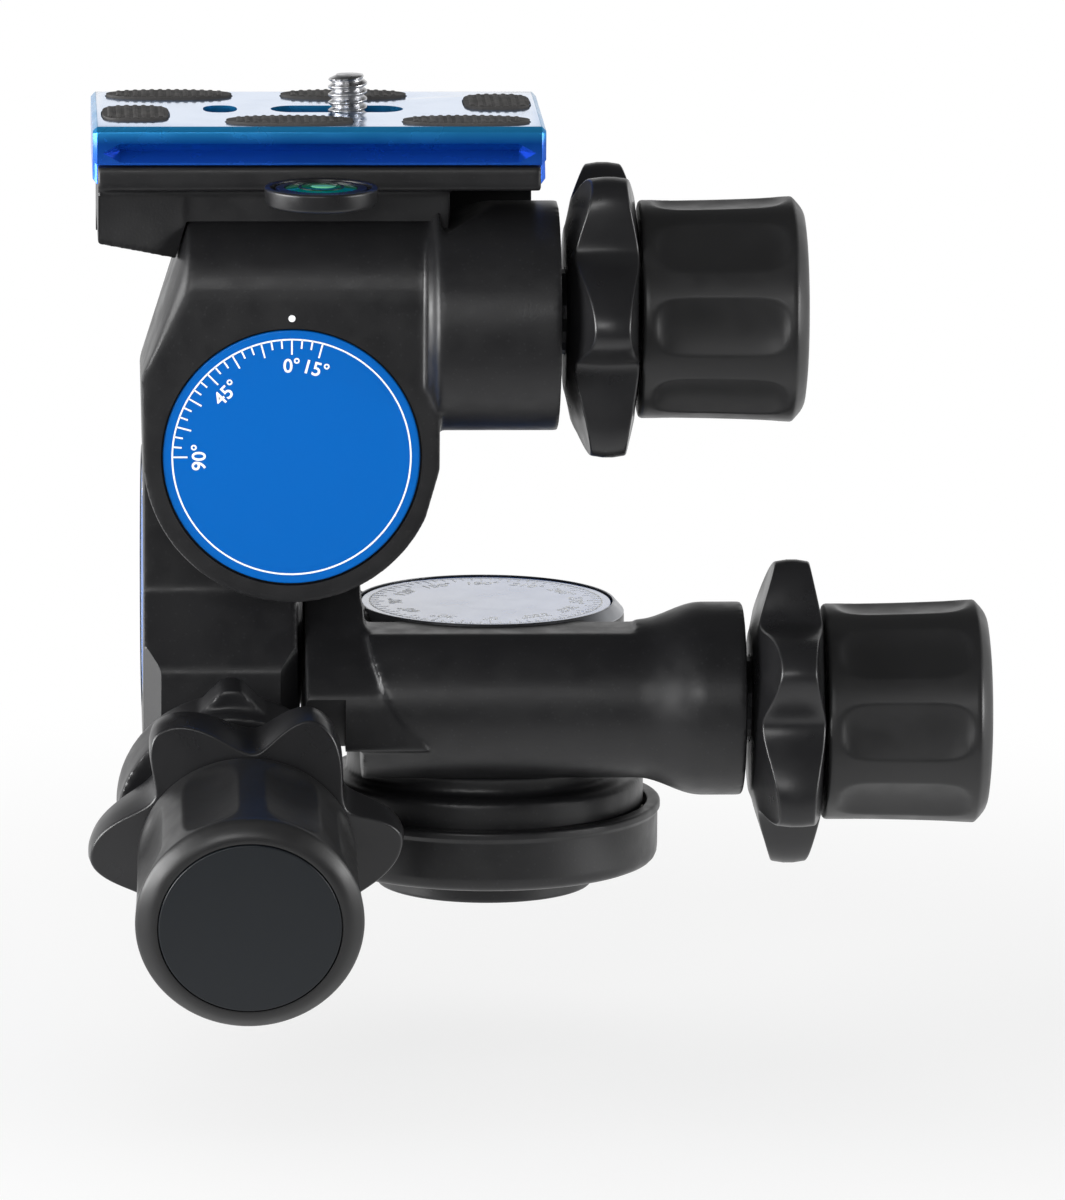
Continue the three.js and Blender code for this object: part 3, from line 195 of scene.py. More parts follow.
links.new(distance.outputs["Value"], fade.inputs["Value"])
links.new(fade.outputs[0], share.inputs[0])
links.new(seen_as_white(tree), share.inputs[1])
links.new(share.outputs[0], blend.inputs["Fac"])
links.new(matt.outputs[0], blend.inputs[1])
links.new(glow.outputs[0], blend.inputs[2])
links.new(blend.outputs[0], parts["Material Output"].inputs["Surface"])
floor_mesh.materials.append(floor_material)


head_middle = Vector((0, 0, 0.06))
softboxes = {
    "left_box": ((-0.85, -0.25, 0.12), (0.8, 0.35), 13),
    "right_box": ((0.9, -0.3, 0.1), (0.5, 0.35), 5),
    "front_box": ((-0.3, -1.15, 0.42), (0.6, 0.25), 3),
}
for name, (place, size, power) in softboxes.items():
    light = bpy.data.objects.new(name, bpy.data.lights.new(name, "AREA"))
    light.data.shape = "RECTANGLE"
    light.data.size, light.data.size_y = size
    light.data.energy = power
    light.location = place
    aim = head_middle - Vector(place)
    light.rotation_mode = "QUATERNION"
    light.rotation_quaternion = aim.to_track_quat("-Z", "Y")
    scene.collection.objects.link(light)

# Foot and ring: one aluminium casting, turned on its rim and foot and powder-coated black.
# The head sits on the tripod by the foot, and the ring carries the pan bearing.
round_sides = 144
cast_voxel = 0.00042
cast_black = (0.0095, 0.0095, 0.0105, 1)
cast_fleck = (0.017, 0.017, 0.0185, 1)


def add_piece(name, form):
    bmesh.ops.recalc_face_normals(form, faces=form.faces)
    mesh = bpy.data.meshes.new(name)
    form.to_mesh(mesh)
    form.free()
    piece = bpy.data.objects.new(name, mesh)
    scene.collection.objects.link(piece)
    return piece


nearly_straight = math.radians(88)
longest_round = 0.48


def rounded(corners, radius, closed=True, steps=5):
    points = []
    for i, corner in enumerate(corners):
        here = Vector(corner[:2])
        size = corner[2] if len(corner) > 2 else radius
        if size == 0 or (not closed and i in (0, len(corners) - 1)):
            points.append(here)
            continue
        before = Vector(corners[i - 1][:2]) - here
        after = Vector(corners[(i + 1) % len(corners)][:2]) - here
        half_angle = before.angle(after) / 2
        if half_angle > nearly_straight:
            points.append(here)
            continue
        reach = min(size / math.tan(half_angle), before.length * longest_round, after.length * longest_round)
        start = here + before.normalized() * reach
        end = here + after.normalized() * reach
        for k in range(steps + 1):
            t = k / steps
            points.append(start * (1 - t) ** 2 + here * 2 * t * (1 - t) + end * t**2)
    return points


def turn(form, profile, place=Matrix(), sides=round_sides, ring=False, radius_at=None):
    rings = []
    for level, (radius, height) in enumerate(profile):
        if radius < 1e-7:
            rings.append([form.verts.new(place @ Vector((0, 0, height)))])
            continue
        circle = []
        for k in range(sides):
            angle = 2 * math.pi * k / sides
            r, z = radius_at(level, radius, height, angle) if radius_at else (radius, height)
            circle.append(form.verts.new(place @ Vector((r * math.cos(angle), r * math.sin(angle), z))))
        rings.append(circle)
    pairs = list(zip(rings, rings[1:])) + ([(rings[-1], rings[0])] if ring else [])
    for low, high in pairs:
        for k in range(sides):
            n = (k + 1) % sides
            corners = [low[k % len(low)], low[n % len(low)], high[n % len(high)], high[k % len(high)]]
            corners = [corner for i, corner in enumerate(corners) if corner is not corners[i - 1]]
            if len(corners) > 2:
                form.faces.new(corners)


def bore(form, radius, low, high, place=Matrix(), sides=round_sides):
    turn(form, [(0, low), (radius, low), (radius, high), (0, high)], place, sides)


def washer(form, inner, outer, low, high, place=Matrix(), sides=round_sides):
    turn(form, [(inner, low), (outer, low), (outer, high), (inner, high)], place, sides, ring=True)


def oblong(left, right, low, high):
    return [(left, low), (right, low), (right, high), (left, high)]


def raise_outline(form, outline, low, high, place=Matrix()):
    layers = [[form.verts.new(place @ Vector((a, b, height))) for a, b in outline] for height in (low, high)]
    count = len(outline)
    for k in range(count):
        n = (k + 1) % count
        form.faces.new((layers[0][k], layers[0][n], layers[1][n], layers[1][k]))
    form.faces.new(layers[0][::-1])
    form.faces.new(layers[1])


def smooth(piece, angle=32):
    piece.data.shade_smooth()
    piece.data.set_sharp_from_angle(angle=math.radians(angle))


def dress(piece, material, body, slot, *replaced):
    piece.data.materials.clear()
    piece.data.materials.append(material)
    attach(piece, body)
    if replaced:
        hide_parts(*replaced)


def settle(piece):
    graph = bpy.context.evaluated_depsgraph_get()
    mesh = bpy.data.meshes.new_from_object(piece.evaluated_get(graph))
    mesh.name = piece.name
    old = piece.data
    piece.modifiers.clear()
    piece.data = mesh
    bpy.data.meshes.remove(old)


def even_normals(piece):
    piece.modifiers.new("normals", "WEIGHTED_NORMAL").keep_sharp = True


def cut_away(piece, cutters):
    tool = add_piece("cutter", cutters)
    cut = piece.modifiers.new("cut", "BOOLEAN")
    cut.operation = "DIFFERENCE"
    cut.solver = "MANIFOLD"
    cut.object = tool
    settle(piece)
    bpy.data.objects.remove(tool)


def cast(name, form, cutters, rounding=7):
    piece = add_piece(name, form)
    shell = piece.modifiers.new("shell", "REMESH")
    shell.mode = "VOXEL"
    shell.voxel_size = cast_voxel
    ease = piece.modifiers.new("ease", "SMOOTH")
    ease.iterations = rounding
    settle(piece)
    cut_away(piece, cutters)
    smooth(piece)
    return piece


coat_roughness = 0.06
noise_span = (0.35, 0.65)
fleck_span = (0.06, 0.22)


def finish_of(name, colour, roughness, metallic=0, specular=0.5, coat=0):
    material = bpy.data.materials.new(name)
    tree, parts, links = nodes_of(material)
    shader = parts["Principled BSDF"]
    shader.inputs["Base Color"].default_value = colour
    shader.inputs["Roughness"].default_value = roughness
    shader.inputs["Metallic"].default_value = metallic
    shader.inputs["Specular IOR Level"].default_value = specular
    shader.inputs["Coat Weight"].default_value = coat
    shader.inputs["Coat Roughness"].default_value = coat_roughness
    return material, tree, shader


def grain(tree, shader, size, depth, strength):
    place = tree.nodes.new("ShaderNodeTexCoord")
    noise = tree.nodes.new("ShaderNodeTexNoise")
    noise.inputs["Scale"].default_value = 1 / size
    noise.inputs["Detail"].default_value = 2
    bump = tree.nodes.new("ShaderNodeBump")
    bump.inputs["Distance"].default_value = depth
    bump.inputs["Strength"].default_value = strength
    tree.links.new(place.outputs["Object"], noise.inputs["Vector"])
    tree.links.new(noise.outputs["Fac"], bump.inputs["Height"])
    tree.links.new(bump.outputs["Normal"], shader.inputs["Normal"])
    return place


def vary_gloss(tree, shader, place, size, low, high):
    noise = tree.nodes.new("ShaderNodeTexNoise")
    noise.inputs["Scale"].default_value = 1 / size
    noise.inputs["Detail"].default_value = 3
    ramp = tree.nodes.new("ShaderNodeMapRange")
    ramp.inputs["From Min"].default_value = noise_span[0]
    ramp.inputs["From Max"].default_value = noise_span[1]
    ramp.inputs["To Min"].default_value = low
    ramp.inputs["To Max"].default_value = high
    tree.links.new(place.outputs["Object"], noise.inputs["Vector"])
    tree.links.new(noise.outputs["Fac"], ramp.inputs["Value"])
    tree.links.new(ramp.outputs[0], shader.inputs["Roughness"])


def speckle(tree, shader, place, size, dark, light):
    dots = tree.nodes.new("ShaderNodeTexVoronoi")
    dots.inputs["Scale"].default_value = 1 / size
    ramp = tree.nodes.new("ShaderNodeValToRGB")
    for stop, position, colour in zip(ramp.color_ramp.elements, fleck_span, (light, dark)):
        stop.position = position
        stop.color = colour
    tree.links.new(place.outputs["Object"], dots.inputs["Vector"])
    tree.links.new(dots.outputs["Distance"], ramp.inputs["Fac"])
    tree.links.new(ramp.outputs[0], shader.inputs["Base Color"])


powder_coat, tree, shader = finish_of("powder_coat", cast_black, 0.36, specular=0.5)
place = grain(tree, shader, size=0.00042, depth=0.00002, strength=0.6)
vary_gloss(tree, shader, place, size=0.004, low=0.34, high=0.44)
speckle(tree, shader, place, size=0.0011, dark=cast_black, light=cast_fleck)

ring_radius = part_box("base_housing")[1].x
ring_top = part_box("base_housing")[1].z
foot_radius = 0.0175
foot_height = 0.004
foot_round = 0.0006
foot_root = 0.0008
ring_round = 0.0024
band_step = 0.0004
band_low = 0.0018
band_high = 0.0012
rim_round = 0.0009
recess_radius = 0.0263
recess_floor = 0.0115
recess_round = 0.0003
pocket_radius = 0.0153
pocket_floor = 0.0071
pocket_round = 0.0002
hole_gap = 0.0003
tool_margin = 0.002
screw_seat = 0.0026
screw_hole = 0.0018
screw_hole_start = 0.0005
form = bmesh.new()
turn(form, rounded([
    (0, 0), (foot_radius, 0, foot_round), (foot_radius, foot_height, foot_root),
    (ring_radius - band_step, foot_height, ring_round),
    (ring_radius - band_step, ring_top - band_low, foot_round),
    (ring_radius, ring_top - band_high, band_step), (ring_radius, ring_top, rim_round),
    (recess_radius, ring_top, band_step), (recess_radius, recess_floor, recess_round),
    (pocket_radius, recess_floor, pocket_round), (pocket_radius, pocket_floor, 0), (0, pocket_floor),
], 0, closed=False))
ring = add_piece("ring_casting", form)
form = bmesh.new()
insert_low, insert_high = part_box("thread_insert")
bore(form, (insert_high.x - insert_low.x) / 2 + hole_gap, -tool_margin, ring_top)
for k in range(3):
    low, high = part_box(f"base_screw_{k + 1}")
    middle = (low + high) / 2
    at = Matrix.Translation((middle.x, middle.y, 0))
    bore(form, (high.x - low.x) / 2 + hole_gap, -tool_margin, screw_seat, at, 48)
    bore(form, screw_hole, screw_hole_start, ring_top, at, 48)
cut_away(ring, form)
smooth(ring)
even_normals(ring)
dress(ring, powder_coat, "base", "cast_black", "base_housing")

# Threaded insert, base screws, pan spindle and the other turned steel inside the head: bright
# steel with fine tool marks round it.
steel, tree, shader = finish_of("turned_steel", (0.55, 0.55, 0.56, 1), 0.3, metallic=1)
place = grain(tree, shader, size=0.0006, depth=0.000006, strength=0.5)
vary_gloss(tree, shader, place, size=0.002, low=0.22, high=0.4)
steel_nodes = [
    "thread_insert", "base_screw_1", "base_screw_2", "base_screw_3", "pan_spindle", "tilt_axle", "roll_axle",
    "jaw_guide_pin_1", "jaw_guide_pin_2", "clamp_screw", "screw_ring",
]
for key in ("pan", "tilt", "roll"):
    steel_nodes += [f"{key}_nut", f"{key}_worm"]


def coat_nodes(names, material):
    for name in names:
        nodes[name].data.materials.clear()
        nodes[name].data.materials.append(material)


coat_nodes(steel_nodes, steel)

# Worm sleeves and release springs: steel coloured near black with a little sheen left, as painted shade in
# the narrow gap between each neck and its collar. The sleeve holds the worm off its own axis, and the spring
# turns it back into mesh.
dark_steel_painted_shade, tree, shader = finish_of("dark_steel_painted_shade", (0.02, 0.02, 0.022, 1), 0.35, metallic=0.7)
place = grain(tree, shader, size=0.0006, depth=0.000006, strength=0.5)
vary_gloss(tree, shader, place, size=0.002, low=0.28, high=0.42)
for part in ("worm_sleeve", "release_spring"):
    coat_nodes([f"{key}_{part}" for key in ("pan", "tilt", "roll")], dark_steel_painted_shade)

# Worm wheels: bronze blanks with the teeth cut in them, warm and a little dull. Each is fixed
# to the spindle or axle that carries its dial.
bronze, tree, shader = finish_of("gear_bronze", (0.48, 0.31, 0.13, 1), 0.38, metallic=1)
place = grain(tree, shader, size=0.0008, depth=0.000008, strength=0.5)
vary_gloss(tree, shader, place, size=0.003, low=0.3, high=0.48)
coat_nodes([f"{key}_worm_wheel" for key in ("pan", "tilt", "roll")], bronze)

# Thrust washers: rings of white low-friction polymer, turned from rod. They lie loose between
# the cases, so that one case turns on the next.
washer_white, tree, shader = finish_of("washer_polymer", (0.68, 0.66, 0.6, 1), 0.5)
place = grain(tree, shader, size=0.0005, depth=0.00001, strength=0.4)
vary_gloss(tree, shader, place, size=0.004, low=0.42, high=0.6)
coat_nodes([f"{key}_thrust_washer" for key in ("pan", "tilt", "roll")], washer_white)


# Each axis: the hub is on the wheel's own line, and the worm runs past it. The frame of a worm
# has Z along the worm to its knob and X from the wheel's hub outwards.
def line_frame(key, joint):
    hub = Vector(joints[key]["pos_m"])
    axis = Vector(joints[f"{key}_knob_turn"]["axis"]).normalized()
    point = Vector(joints[joint]["pos_m"])
    foot = point + axis * (hub - point).dot(axis)
    wheel = Vector(joints[key]["axis"]).normalized()
    outward = wheel.cross(axis).normalized()
    if outward.dot(foot - hub) < 0:
        outward = -outward
    return Matrix.Translation(foot) @ Matrix((outward, axis.cross(outward), axis)).transposed().to_4x4()


# Pan gear case: an aluminium casting with the tube of the pan worm on its near side and the
# ear for the tilt axle on its left. The dial's recess and the bores are machined after casting.
FRONT = Matrix(((1, 0, 0, 0), (0, 0, 1, 0), (0, 1, 0, 0), (0, 0, 0, 1)))
SIDE = Matrix(((0, 0, 1, 0), (1, 0, 0, 0), (0, 1, 0, 0), (0, 0, 0, 1)))
neck_ends = {"pan": 0.0403, "tilt": 0.0476, "roll": 0.0423}
flare_steps = 8
sleeve_bore = 0.0071
sleeve_start = -0.01
spring_bore = 0.0092
spring_depth = 0.0043
bore_sides = 96
well_radius = 0.0194
well_floor = -0.0033
dial_recess = 0.0206
recess_depth = 0.0015
tool_reach = 0.003


def eased_neck(form, key, start, tube, flare_start, flare_end, radius, lean=0.0):
    at = line_frame(key, f"{key}_release") @ Matrix.Translation((lean, 0, 0))
    end = neck_ends[key]
    profile = [(0, start), (tube, start)]
    for k in range(flare_steps + 1):
        t = k / flare_steps
        ease = t * t * (3 - 2 * t)
        profile.append((tube + (radius - tube) * ease, flare_start + (flare_end - flare_start) * t))
    profile += [(radius, end), (0, end)]
    turn(form, profile, at)


def case_cutters(form, key, dial_face):
    hub = Vector(joints[key]["pos_m"])
    low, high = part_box(f"{key}_dial")
    outward = ((low + high) / 2 - hub).normalized()
    side = outward.orthogonal().normalized()
    at = Matrix.Translation(hub) @ Matrix((side, outward.cross(side), outward)).transposed().to_4x4()
    seat, top = dial_face - recess_depth, dial_face + tool_reach
    profile = [(0, well_floor), (well_radius, well_floor), (well_radius, seat)]
    turn(form, profile + [(dial_recess, seat), (dial_recess, top), (0, top)], at)
    seat, top = neck_ends[key] - spring_depth, neck_ends[key] + tool_reach
    profile = [(0, sleeve_start), (sleeve_bore, sleeve_start), (sleeve_bore, seat), (spring_bore, seat)]
    turn(form, profile + [(spring_bore, top), (0, top)], line_frame(key, f"{key}_release"), bore_sides)


def stack(form, levels):
    rings = []
    for z, x0, x1, y0, y1 in levels:
        rings.append([form.verts.new((x, y, z)) for x, y in ((x0, y0), (x1, y0), (x1, y1), (x0, y1))])
    for low, high in zip(rings, rings[1:]):
        for k in range(4):
            n = (k + 1) % 4
            form.faces.new((low[k], low[n], high[n], high[k]))
    form.faces.new(rings[0][::-1])
    form.faces.new(rings[-1])


def between(value, table):
    for (a, low), (b, high) in zip(table, table[1:]):
        if value <= b:
            return low + (high - low) * max(0, value - a) / (b - a)
    return table[-1][1]


pan_hub = Vector(joints["pan"]["pos_m"])
tilt_hub = Vector(joints["tilt"]["pos_m"])
skirt_low = 0.0127
skirt_radius = 0.0257
skirt_top = 0.0183
skirt_round = 0.0009
drum_radius = 0.0224
drum_round = 0.0008
drum_edge = 0.0002
pan_top = 0.0466
rim_bevel = 0.0018
form = bmesh.new()
turn(form, rounded([
    (0, skirt_low), (skirt_radius, skirt_low, foot_round), (skirt_radius, skirt_top, skirt_round),
    (drum_radius, skirt_top + foot_round, drum_round), (drum_radius, pan_top - rim_bevel, drum_edge),
    (drum_radius - rim_bevel, pan_top, drum_edge), (0, pan_top),
], 0, closed=False))

pan_neck = dict(start=-0.0208, tube=0.0127, flare_start=0.0235, flare_end=0.0335, radius=0.0155)
edge_start = (-0.01164, 0.03)
ear_edge = [(0.0342, -0.0153), (0.0379, -0.0175), (0.0423, -0.0191), (0.0467, -0.0202), (0.0512, -0.0208)]
past_ear = -0.03
past_tube = -0.04
flat_top = 0.0461
flat_end = 0.023
flat_clear = 0.052
tube_form = bmesh.new()
eased_neck(tube_form, "pan", **pan_neck)
tube = add_piece("pan_tube_form", tube_form)
outline = [(past_ear, edge_start[1]), edge_start] + [(x, z) for z, x in ear_edge]
outline.append((past_ear, ear_edge[-1][0]))
behind_ear = bmesh.new()
raise_outline(behind_ear, outline, past_tube, 0, FRONT)
cut_away(tube, behind_ear)
beside_dial = bmesh.new()
raise_outline(beside_dial, oblong(past_ear, flat_end, flat_top, flat_clear), past_tube, 0, FRONT)
cut_away(tube, beside_dial)
form.from_mesh(tube.data)
bpy.data.objects.remove(tube)

ear_left = -0.0299
ear_hub = 0.0145
ear_low = 0.0283
ear_top = tilt_hub.z + ear_hub
ear_levels = 44
ear_side = [(0.0263, -0.0084)] + ear_edge
ear_front = [
    (0.0263, -0.0335), (0.0355, -0.0335), (0.0375, -0.0331), (0.0395, -0.0318), (0.0415, -0.0297),
    (0.0435, -0.027), (0.0455, -0.024), (0.0475, -0.0213), (0.05, -0.0185), (0.0555, -0.0134),
]
least_chord = 0.0001
levels = []
for k in range(ear_levels + 1):
    z = ear_low + (ear_top - ear_low) * k / ear_levels
    rise = z - tilt_hub.z
    chord = math.sqrt(max(ear_hub**2 - rise**2, least_chord**2))
    front = -chord if z > ear_front[-1][0] else between(z, ear_front)
    levels.append((z, ear_left, between(z, ear_side), front, chord if rise > 0 else ear_hub))
stack(form, levels)

nut_room = 0.0093
axle_hole = 0.0058
axle_sides = 64
ear_bore_depth = 0.007
swing = 0.0358
swing_low = 0.022
swing_high = 0.05
swing_left = -0.032
swing_right = -0.0236
swing_front = -0.045
swing_steps = 12
cutters = bmesh.new()
case_cutters(cutters, "pan", pan_top - pan_hub.z)
bore(cutters, nut_room, 0, pan_hub.z)
outline = []
for k in range(swing_steps + 1):
    z = swing_low + (swing_high - swing_low) * k / swing_steps
    outline.append((-math.sqrt(swing**2 - (z - tilt_hub.z) ** 2), z))
outline += [(swing_front, swing_high), (swing_front, swing_low)]
raise_outline(cutters, outline, swing_left, swing_right, SIDE)
tilt_line = Matrix.Translation((0, 0, tilt_hub.z)) @ SIDE
bore(cutters, axle_hole, swing_left, ear_left + ear_bore_depth, tilt_line, axle_sides)
pan_case = cast("pan_case", form, cutters)
dress(pan_case, powder_coat, "pan_body", "cast_black", "pan_housing")

# Tilt gear case: the arm. Its lower end holds the tilt wheel, and its front slab carries the
# roll axis. The front block has chamfered edges, and a ridge runs from it over the tilt neck.
roll_hub = Vector(joints["roll"]["pos_m"])
arm_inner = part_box("tilt_thrust_washer")[0].x - hole_gap
arm_outer = arm_inner - 0.0246
arm_low = 0.0225
arm_crown = 0.019
arm_top = roll_hub.z + arm_crown
arm_left_top = tilt_hub.z + 0.0325
arm_drum = 0.0224
drum_end = 0.0711
heel_top = 0.0303
heel_back = 0.0105
block_front = -0.029
block_top = 0.0409
slab_front = -0.021
slab_start = 0.0523
slab_back = -0.008
slab_foot = tilt_hub.z + ear_hub + hole_gap
least_wall = 0.0001
step_height = 0.00001
least_span = 1e-9
block_levels = 40
slab_levels = 32
crown_angle = math.radians(125)
crown_x = roll_hub.x + arm_crown * math.cos(crown_angle)
crown_z = roll_hub.z + arm_crown * math.sin(crown_angle)
arm_front = [(arm_low, block_front), (block_top, block_front)]
arm_front += [(slab_start, slab_front), (arm_top, slab_front)]
heights = [arm_low + (slab_foot - arm_low) * k / block_levels for k in range(block_levels + 1)]
for k in range(slab_levels + 1):
    share = 1 - (1 - k / slab_levels) ** 1.6
    heights.append(slab_foot + step_height + (arm_top - step_height - slab_foot) * share)
levels = []
for z in heights:
    if z < heel_top:
        behind = block_front + least_wall + (heel_back - block_front) * (z - arm_low) / (heel_top - arm_low)
    elif z < drum_end:
        behind = math.sqrt(max(arm_drum**2 - (z - tilt_hub.z) ** 2, 0))
    else:
        behind = slab_back
    across = math.sqrt(max(arm_crown**2 - (z - roll_hub.z) ** 2, least_span))
    inner = arm_inner if z <= slab_foot else roll_hub.x + across
    if z <= arm_left_top:
        outer = arm_outer
    elif z <= crown_z:
        outer = arm_outer + (crown_x - arm_outer) * (z - arm_left_top) / (crown_z - arm_left_top)
    else:
        outer = roll_hub.x - across
    levels.append((z, outer, inner, between(z, arm_front), behind))
form = bmesh.new()
stack(form, levels)

tilt_neck = dict(start=-0.012, tube=0.0115, flare_start=0.0315, flare_end=0.0385, radius=0.0181)
hump_half = [(-0.0154, -0.0082), (-0.0168, -0.0056), (-0.0191, -0.0036), (-0.0214, -0.0014)]
hump_round = 0.002
hump_front = neck_ends["tilt"] - 0.003
hump_length = 0.0055
eased_neck(form, "tilt", **tilt_neck)
hump = rounded(hump_half + [(a, -b) for a, b in reversed(hump_half)], hump_round)
raise_outline(form, hump, hump_front - hump_length, hump_front, line_frame("tilt", "tilt_release"))
lip_radius = 0.0215
lip_bore = 0.0149
lip_root = 0.001
lip_height = 0.0009
washer(form, lip_bore, lip_radius, arm_inner - lip_root, arm_inner + lip_height, tilt_line)

dial_sink = 0.0001
tilt_bore_depth = 0.012
chamfer = 0.0028
chamfer_low = 0.02
chamfer_high = 0.056
chamfer_margin = 0.001
slab_bore_start = -0.024
nut_seat = -0.011
nut_end = 0.004
cutters = bmesh.new()
case_cutters(cutters, "tilt", tilt_hub.x - arm_outer - dial_sink)
bore(cutters, axle_hole, 0, tilt_bore_depth, Matrix.Translation(tilt_hub) @ SIDE, axle_sides)
for edge, way in ((arm_outer, 1), (arm_inner, -1)):
    outside, inside = edge - way * chamfer_margin, edge + way * chamfer
    outline = [(outside, block_front + chamfer), (edge, block_front + chamfer), (inside, block_front)]
    outline += [(inside, block_front - tool_margin), (outside, block_front - tool_margin)]
    raise_outline(cutters, outline, chamfer_low, chamfer_high)
slab = Matrix.Translation((roll_hub.x, 0, roll_hub.z)) @ FRONT
profile = [(0, slab_bore_start), (axle_hole, slab_bore_start), (axle_hole, nut_seat), (nut_room, nut_seat)]
turn(cutters, profile + [(nut_room, nut_end), (0, nut_end)], slab, bore_sides)
arm = cast("arm_casting", form, cutters)
dress(arm, powder_coat, "tilt_body", "cast_black", "tilt_arm")

# Roll gear case: a casting under the clamp. Its front holds the roll dial, its top curves back
# to the clamp and its neck stands out to the right.
roll_dial_reach = 0.014
roll_face = roll_dial_reach + hole_gap - roll_hub.y
roll_rear = 0.0222
roll_drum = 0.0234
case_left = roll_hub.x - 0.0237
case_right = roll_hub.x + 0.0234
case_top = roll_hub.z + 0.0377
case_shoulder = roll_hub.z + 0.0126
case_curve = 0.0127
top_fall = 0.0011
top_chamfer = 0.0079
top_round = 0.002
shoulder_round = 0.004
right_foot = 0.0022
right_round = 0.003
corner_round = 0.0008
drum_from = math.radians(180)
drum_to = math.radians(335)
drum_steps = 40
case_layers = 28


def roll_outline(grow=0.0):
    left, right_side, top = case_left - grow, case_right + grow, case_top + grow
    outline = [(right_side, top - top_fall), (roll_hub.x, top), (left + top_chamfer, top, top_round)]
    outline.append((left, case_shoulder, shoulder_round))
    for k in range(drum_steps + 1):
        angle = drum_from + (drum_to - drum_from) * k / drum_steps
        reach = roll_drum + grow
        outline.append((roll_hub.x + reach * math.cos(angle), roll_hub.z + reach * math.sin(angle), 0))
    outline.append((right_side, roll_hub.z - right_foot, right_round))
    return rounded(outline, corner_round)


def roll_layers(form, grow=0.0):
    outline = roll_outline(grow)
    front_y, rear_y = -roll_face - grow, -roll_rear + grow
    curve = case_curve + grow
    top = case_top + grow
    layers = []
    for k in range(case_layers + 1):
        y = front_y + (rear_y - front_y) * (k / case_layers) ** 1.5
        limit = top
        if y < front_y + curve:
            limit = top - curve + math.sqrt(max(curve**2 - (front_y + curve - y) ** 2, 0))
        layers.append([form.verts.new((a, y, min(b, limit))) for a, b in outline])
    count = len(outline)
    for low, high in zip(layers, layers[1:]):
        for k in range(count):
            n = (k + 1) % count
            form.faces.new((low[k], low[n], high[n], high[k]))
    form.faces.new(layers[0])
    form.faces.new(layers[-1][::-1])


roll_neck = dict(start=0.0212, tube=0.016, flare_start=0.0214, flare_end=0.0232, radius=0.0182, lean=-0.0006)
below_hub = 0.002
above_case = 0.004
slope_front = -0.052
slope_left = -0.009
slope_right = 0.0012
slope_low = 0.1129
slope_high = 0.1176
slope_clear = 0.122
axle_end = -0.018
form = bmesh.new()
roll_layers(form)
neck_form = bmesh.new()
eased_neck(neck_form, "roll", **roll_neck)
neck = add_piece("roll_neck_form", neck_form)
behind_case = bmesh.new()
outline = oblong(case_left, case_right, roll_hub.z - below_hub, case_top + above_case)
raise_outline(behind_case, outline, -roll_rear, 0, FRONT)
cut_away(neck, behind_case)
neck_slope = bmesh.new()
outline = [(slope_left, slope_low), (slope_right, slope_high)]
outline += [(slope_right, slope_clear), (slope_left, slope_clear)]
raise_outline(neck_slope, outline, slope_front, 0, FRONT)
cut_away(neck, neck_slope)
form.from_mesh(neck.data)
bpy.data.objects.remove(neck)
cutters = bmesh.new()
case_cutters(cutters, "roll", roll_face + roll_hub.y)
bore(cutters, axle_hole, roll_hub.y, axle_end, slab, axle_sides)
roll_case = cast("roll_case", form, cutters)
dress(roll_case, powder_coat, "roll_body", "cast_black", "roll_housing")

# Dials: turned aluminium discs, anodised blue under a clear gloss, with the scale printed in
# white. Each sits in a recess, and the fine gap round it shows as a dark rim.
dial_blue, tree, shader = finish_of("dial_blue", (0.0, 0.1, 0.4, 1), 0.3, specular=0.1, coat=0.15)
place = grain(tree, shader, size=0.0008, depth=0.000002, strength=0.4)
vary_gloss(tree, shader, place, size=0.003, low=0.29, high=0.33)
# The pan dial faces up and gets a lighter blue under a stronger coat: the lighter blue is painted
# reflection.
dial_gloss_painted_reflection, tree, shader = finish_of("dial_gloss_painted_reflection", (0.0, 0.115, 0.47, 1), 0.2, specular=0.5, coat=1)
shader.inputs["Coat IOR"].default_value = 3.8
place = grain(tree, shader, size=0.0008, depth=0.000001, strength=0.3)
vary_gloss(tree, shader, place, size=0.006, low=0.18, high=0.28)
print_white, tree, shader = finish_of("scale_white", (0.86, 0.88, 0.9, 1), 0.35)
place = grain(tree, shader, size=0.0004, depth=0.000004, strength=0.4)
vary_gloss(tree, shader, place, size=0.002, low=0.28, high=0.42)
dial_radius = 0.0203
dial_edge = 0.0003
dial_flange = 0.001
dial_hub = 0.005
dial_depth = 0.0044
dial_round = 0.0001
scale_radius = 0.0188
long_tick = 0.0024
short_tick = 0.0014
line_width = 0.00026
print_low = 0.000005
print_height = 0.00003
figure_inset = 0.0043
figure_size = 0.0031
figure_weight = 0.00004
body_of_dial = {"pan": "base", "tilt": "pan_body", "roll": "tilt_body"}


def dial_frame(key, up_way):
    hub = Vector(joints[key]["pos_m"])
    low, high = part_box(f"{key}_dial")
    wheel = Vector(joints[key]["axis"]).normalized()
    middle = (low + high) / 2
    outward = wheel if (middle - hub).dot(wheel) > 0 else -wheel
    face = max(abs((corner - hub).dot(outward)) for corner in (low, high))
    up_vector = Vector(up_way)
    turned = Matrix((up_vector.cross(outward), up_vector, outward)).transposed().to_4x4()
    return Matrix.Translation(hub + outward * face) @ turned


def tick(form, angle, length, at):
    along = Vector((-math.sin(angle), math.cos(angle)))
    side = Vector((along.y, -along.x)) * line_width / 2
    start, end = along * (scale_radius - length), along * scale_radius
    outline = [start - side, start + side, end + side, end - side]
    raise_outline(form, outline, print_low, print_height, at)


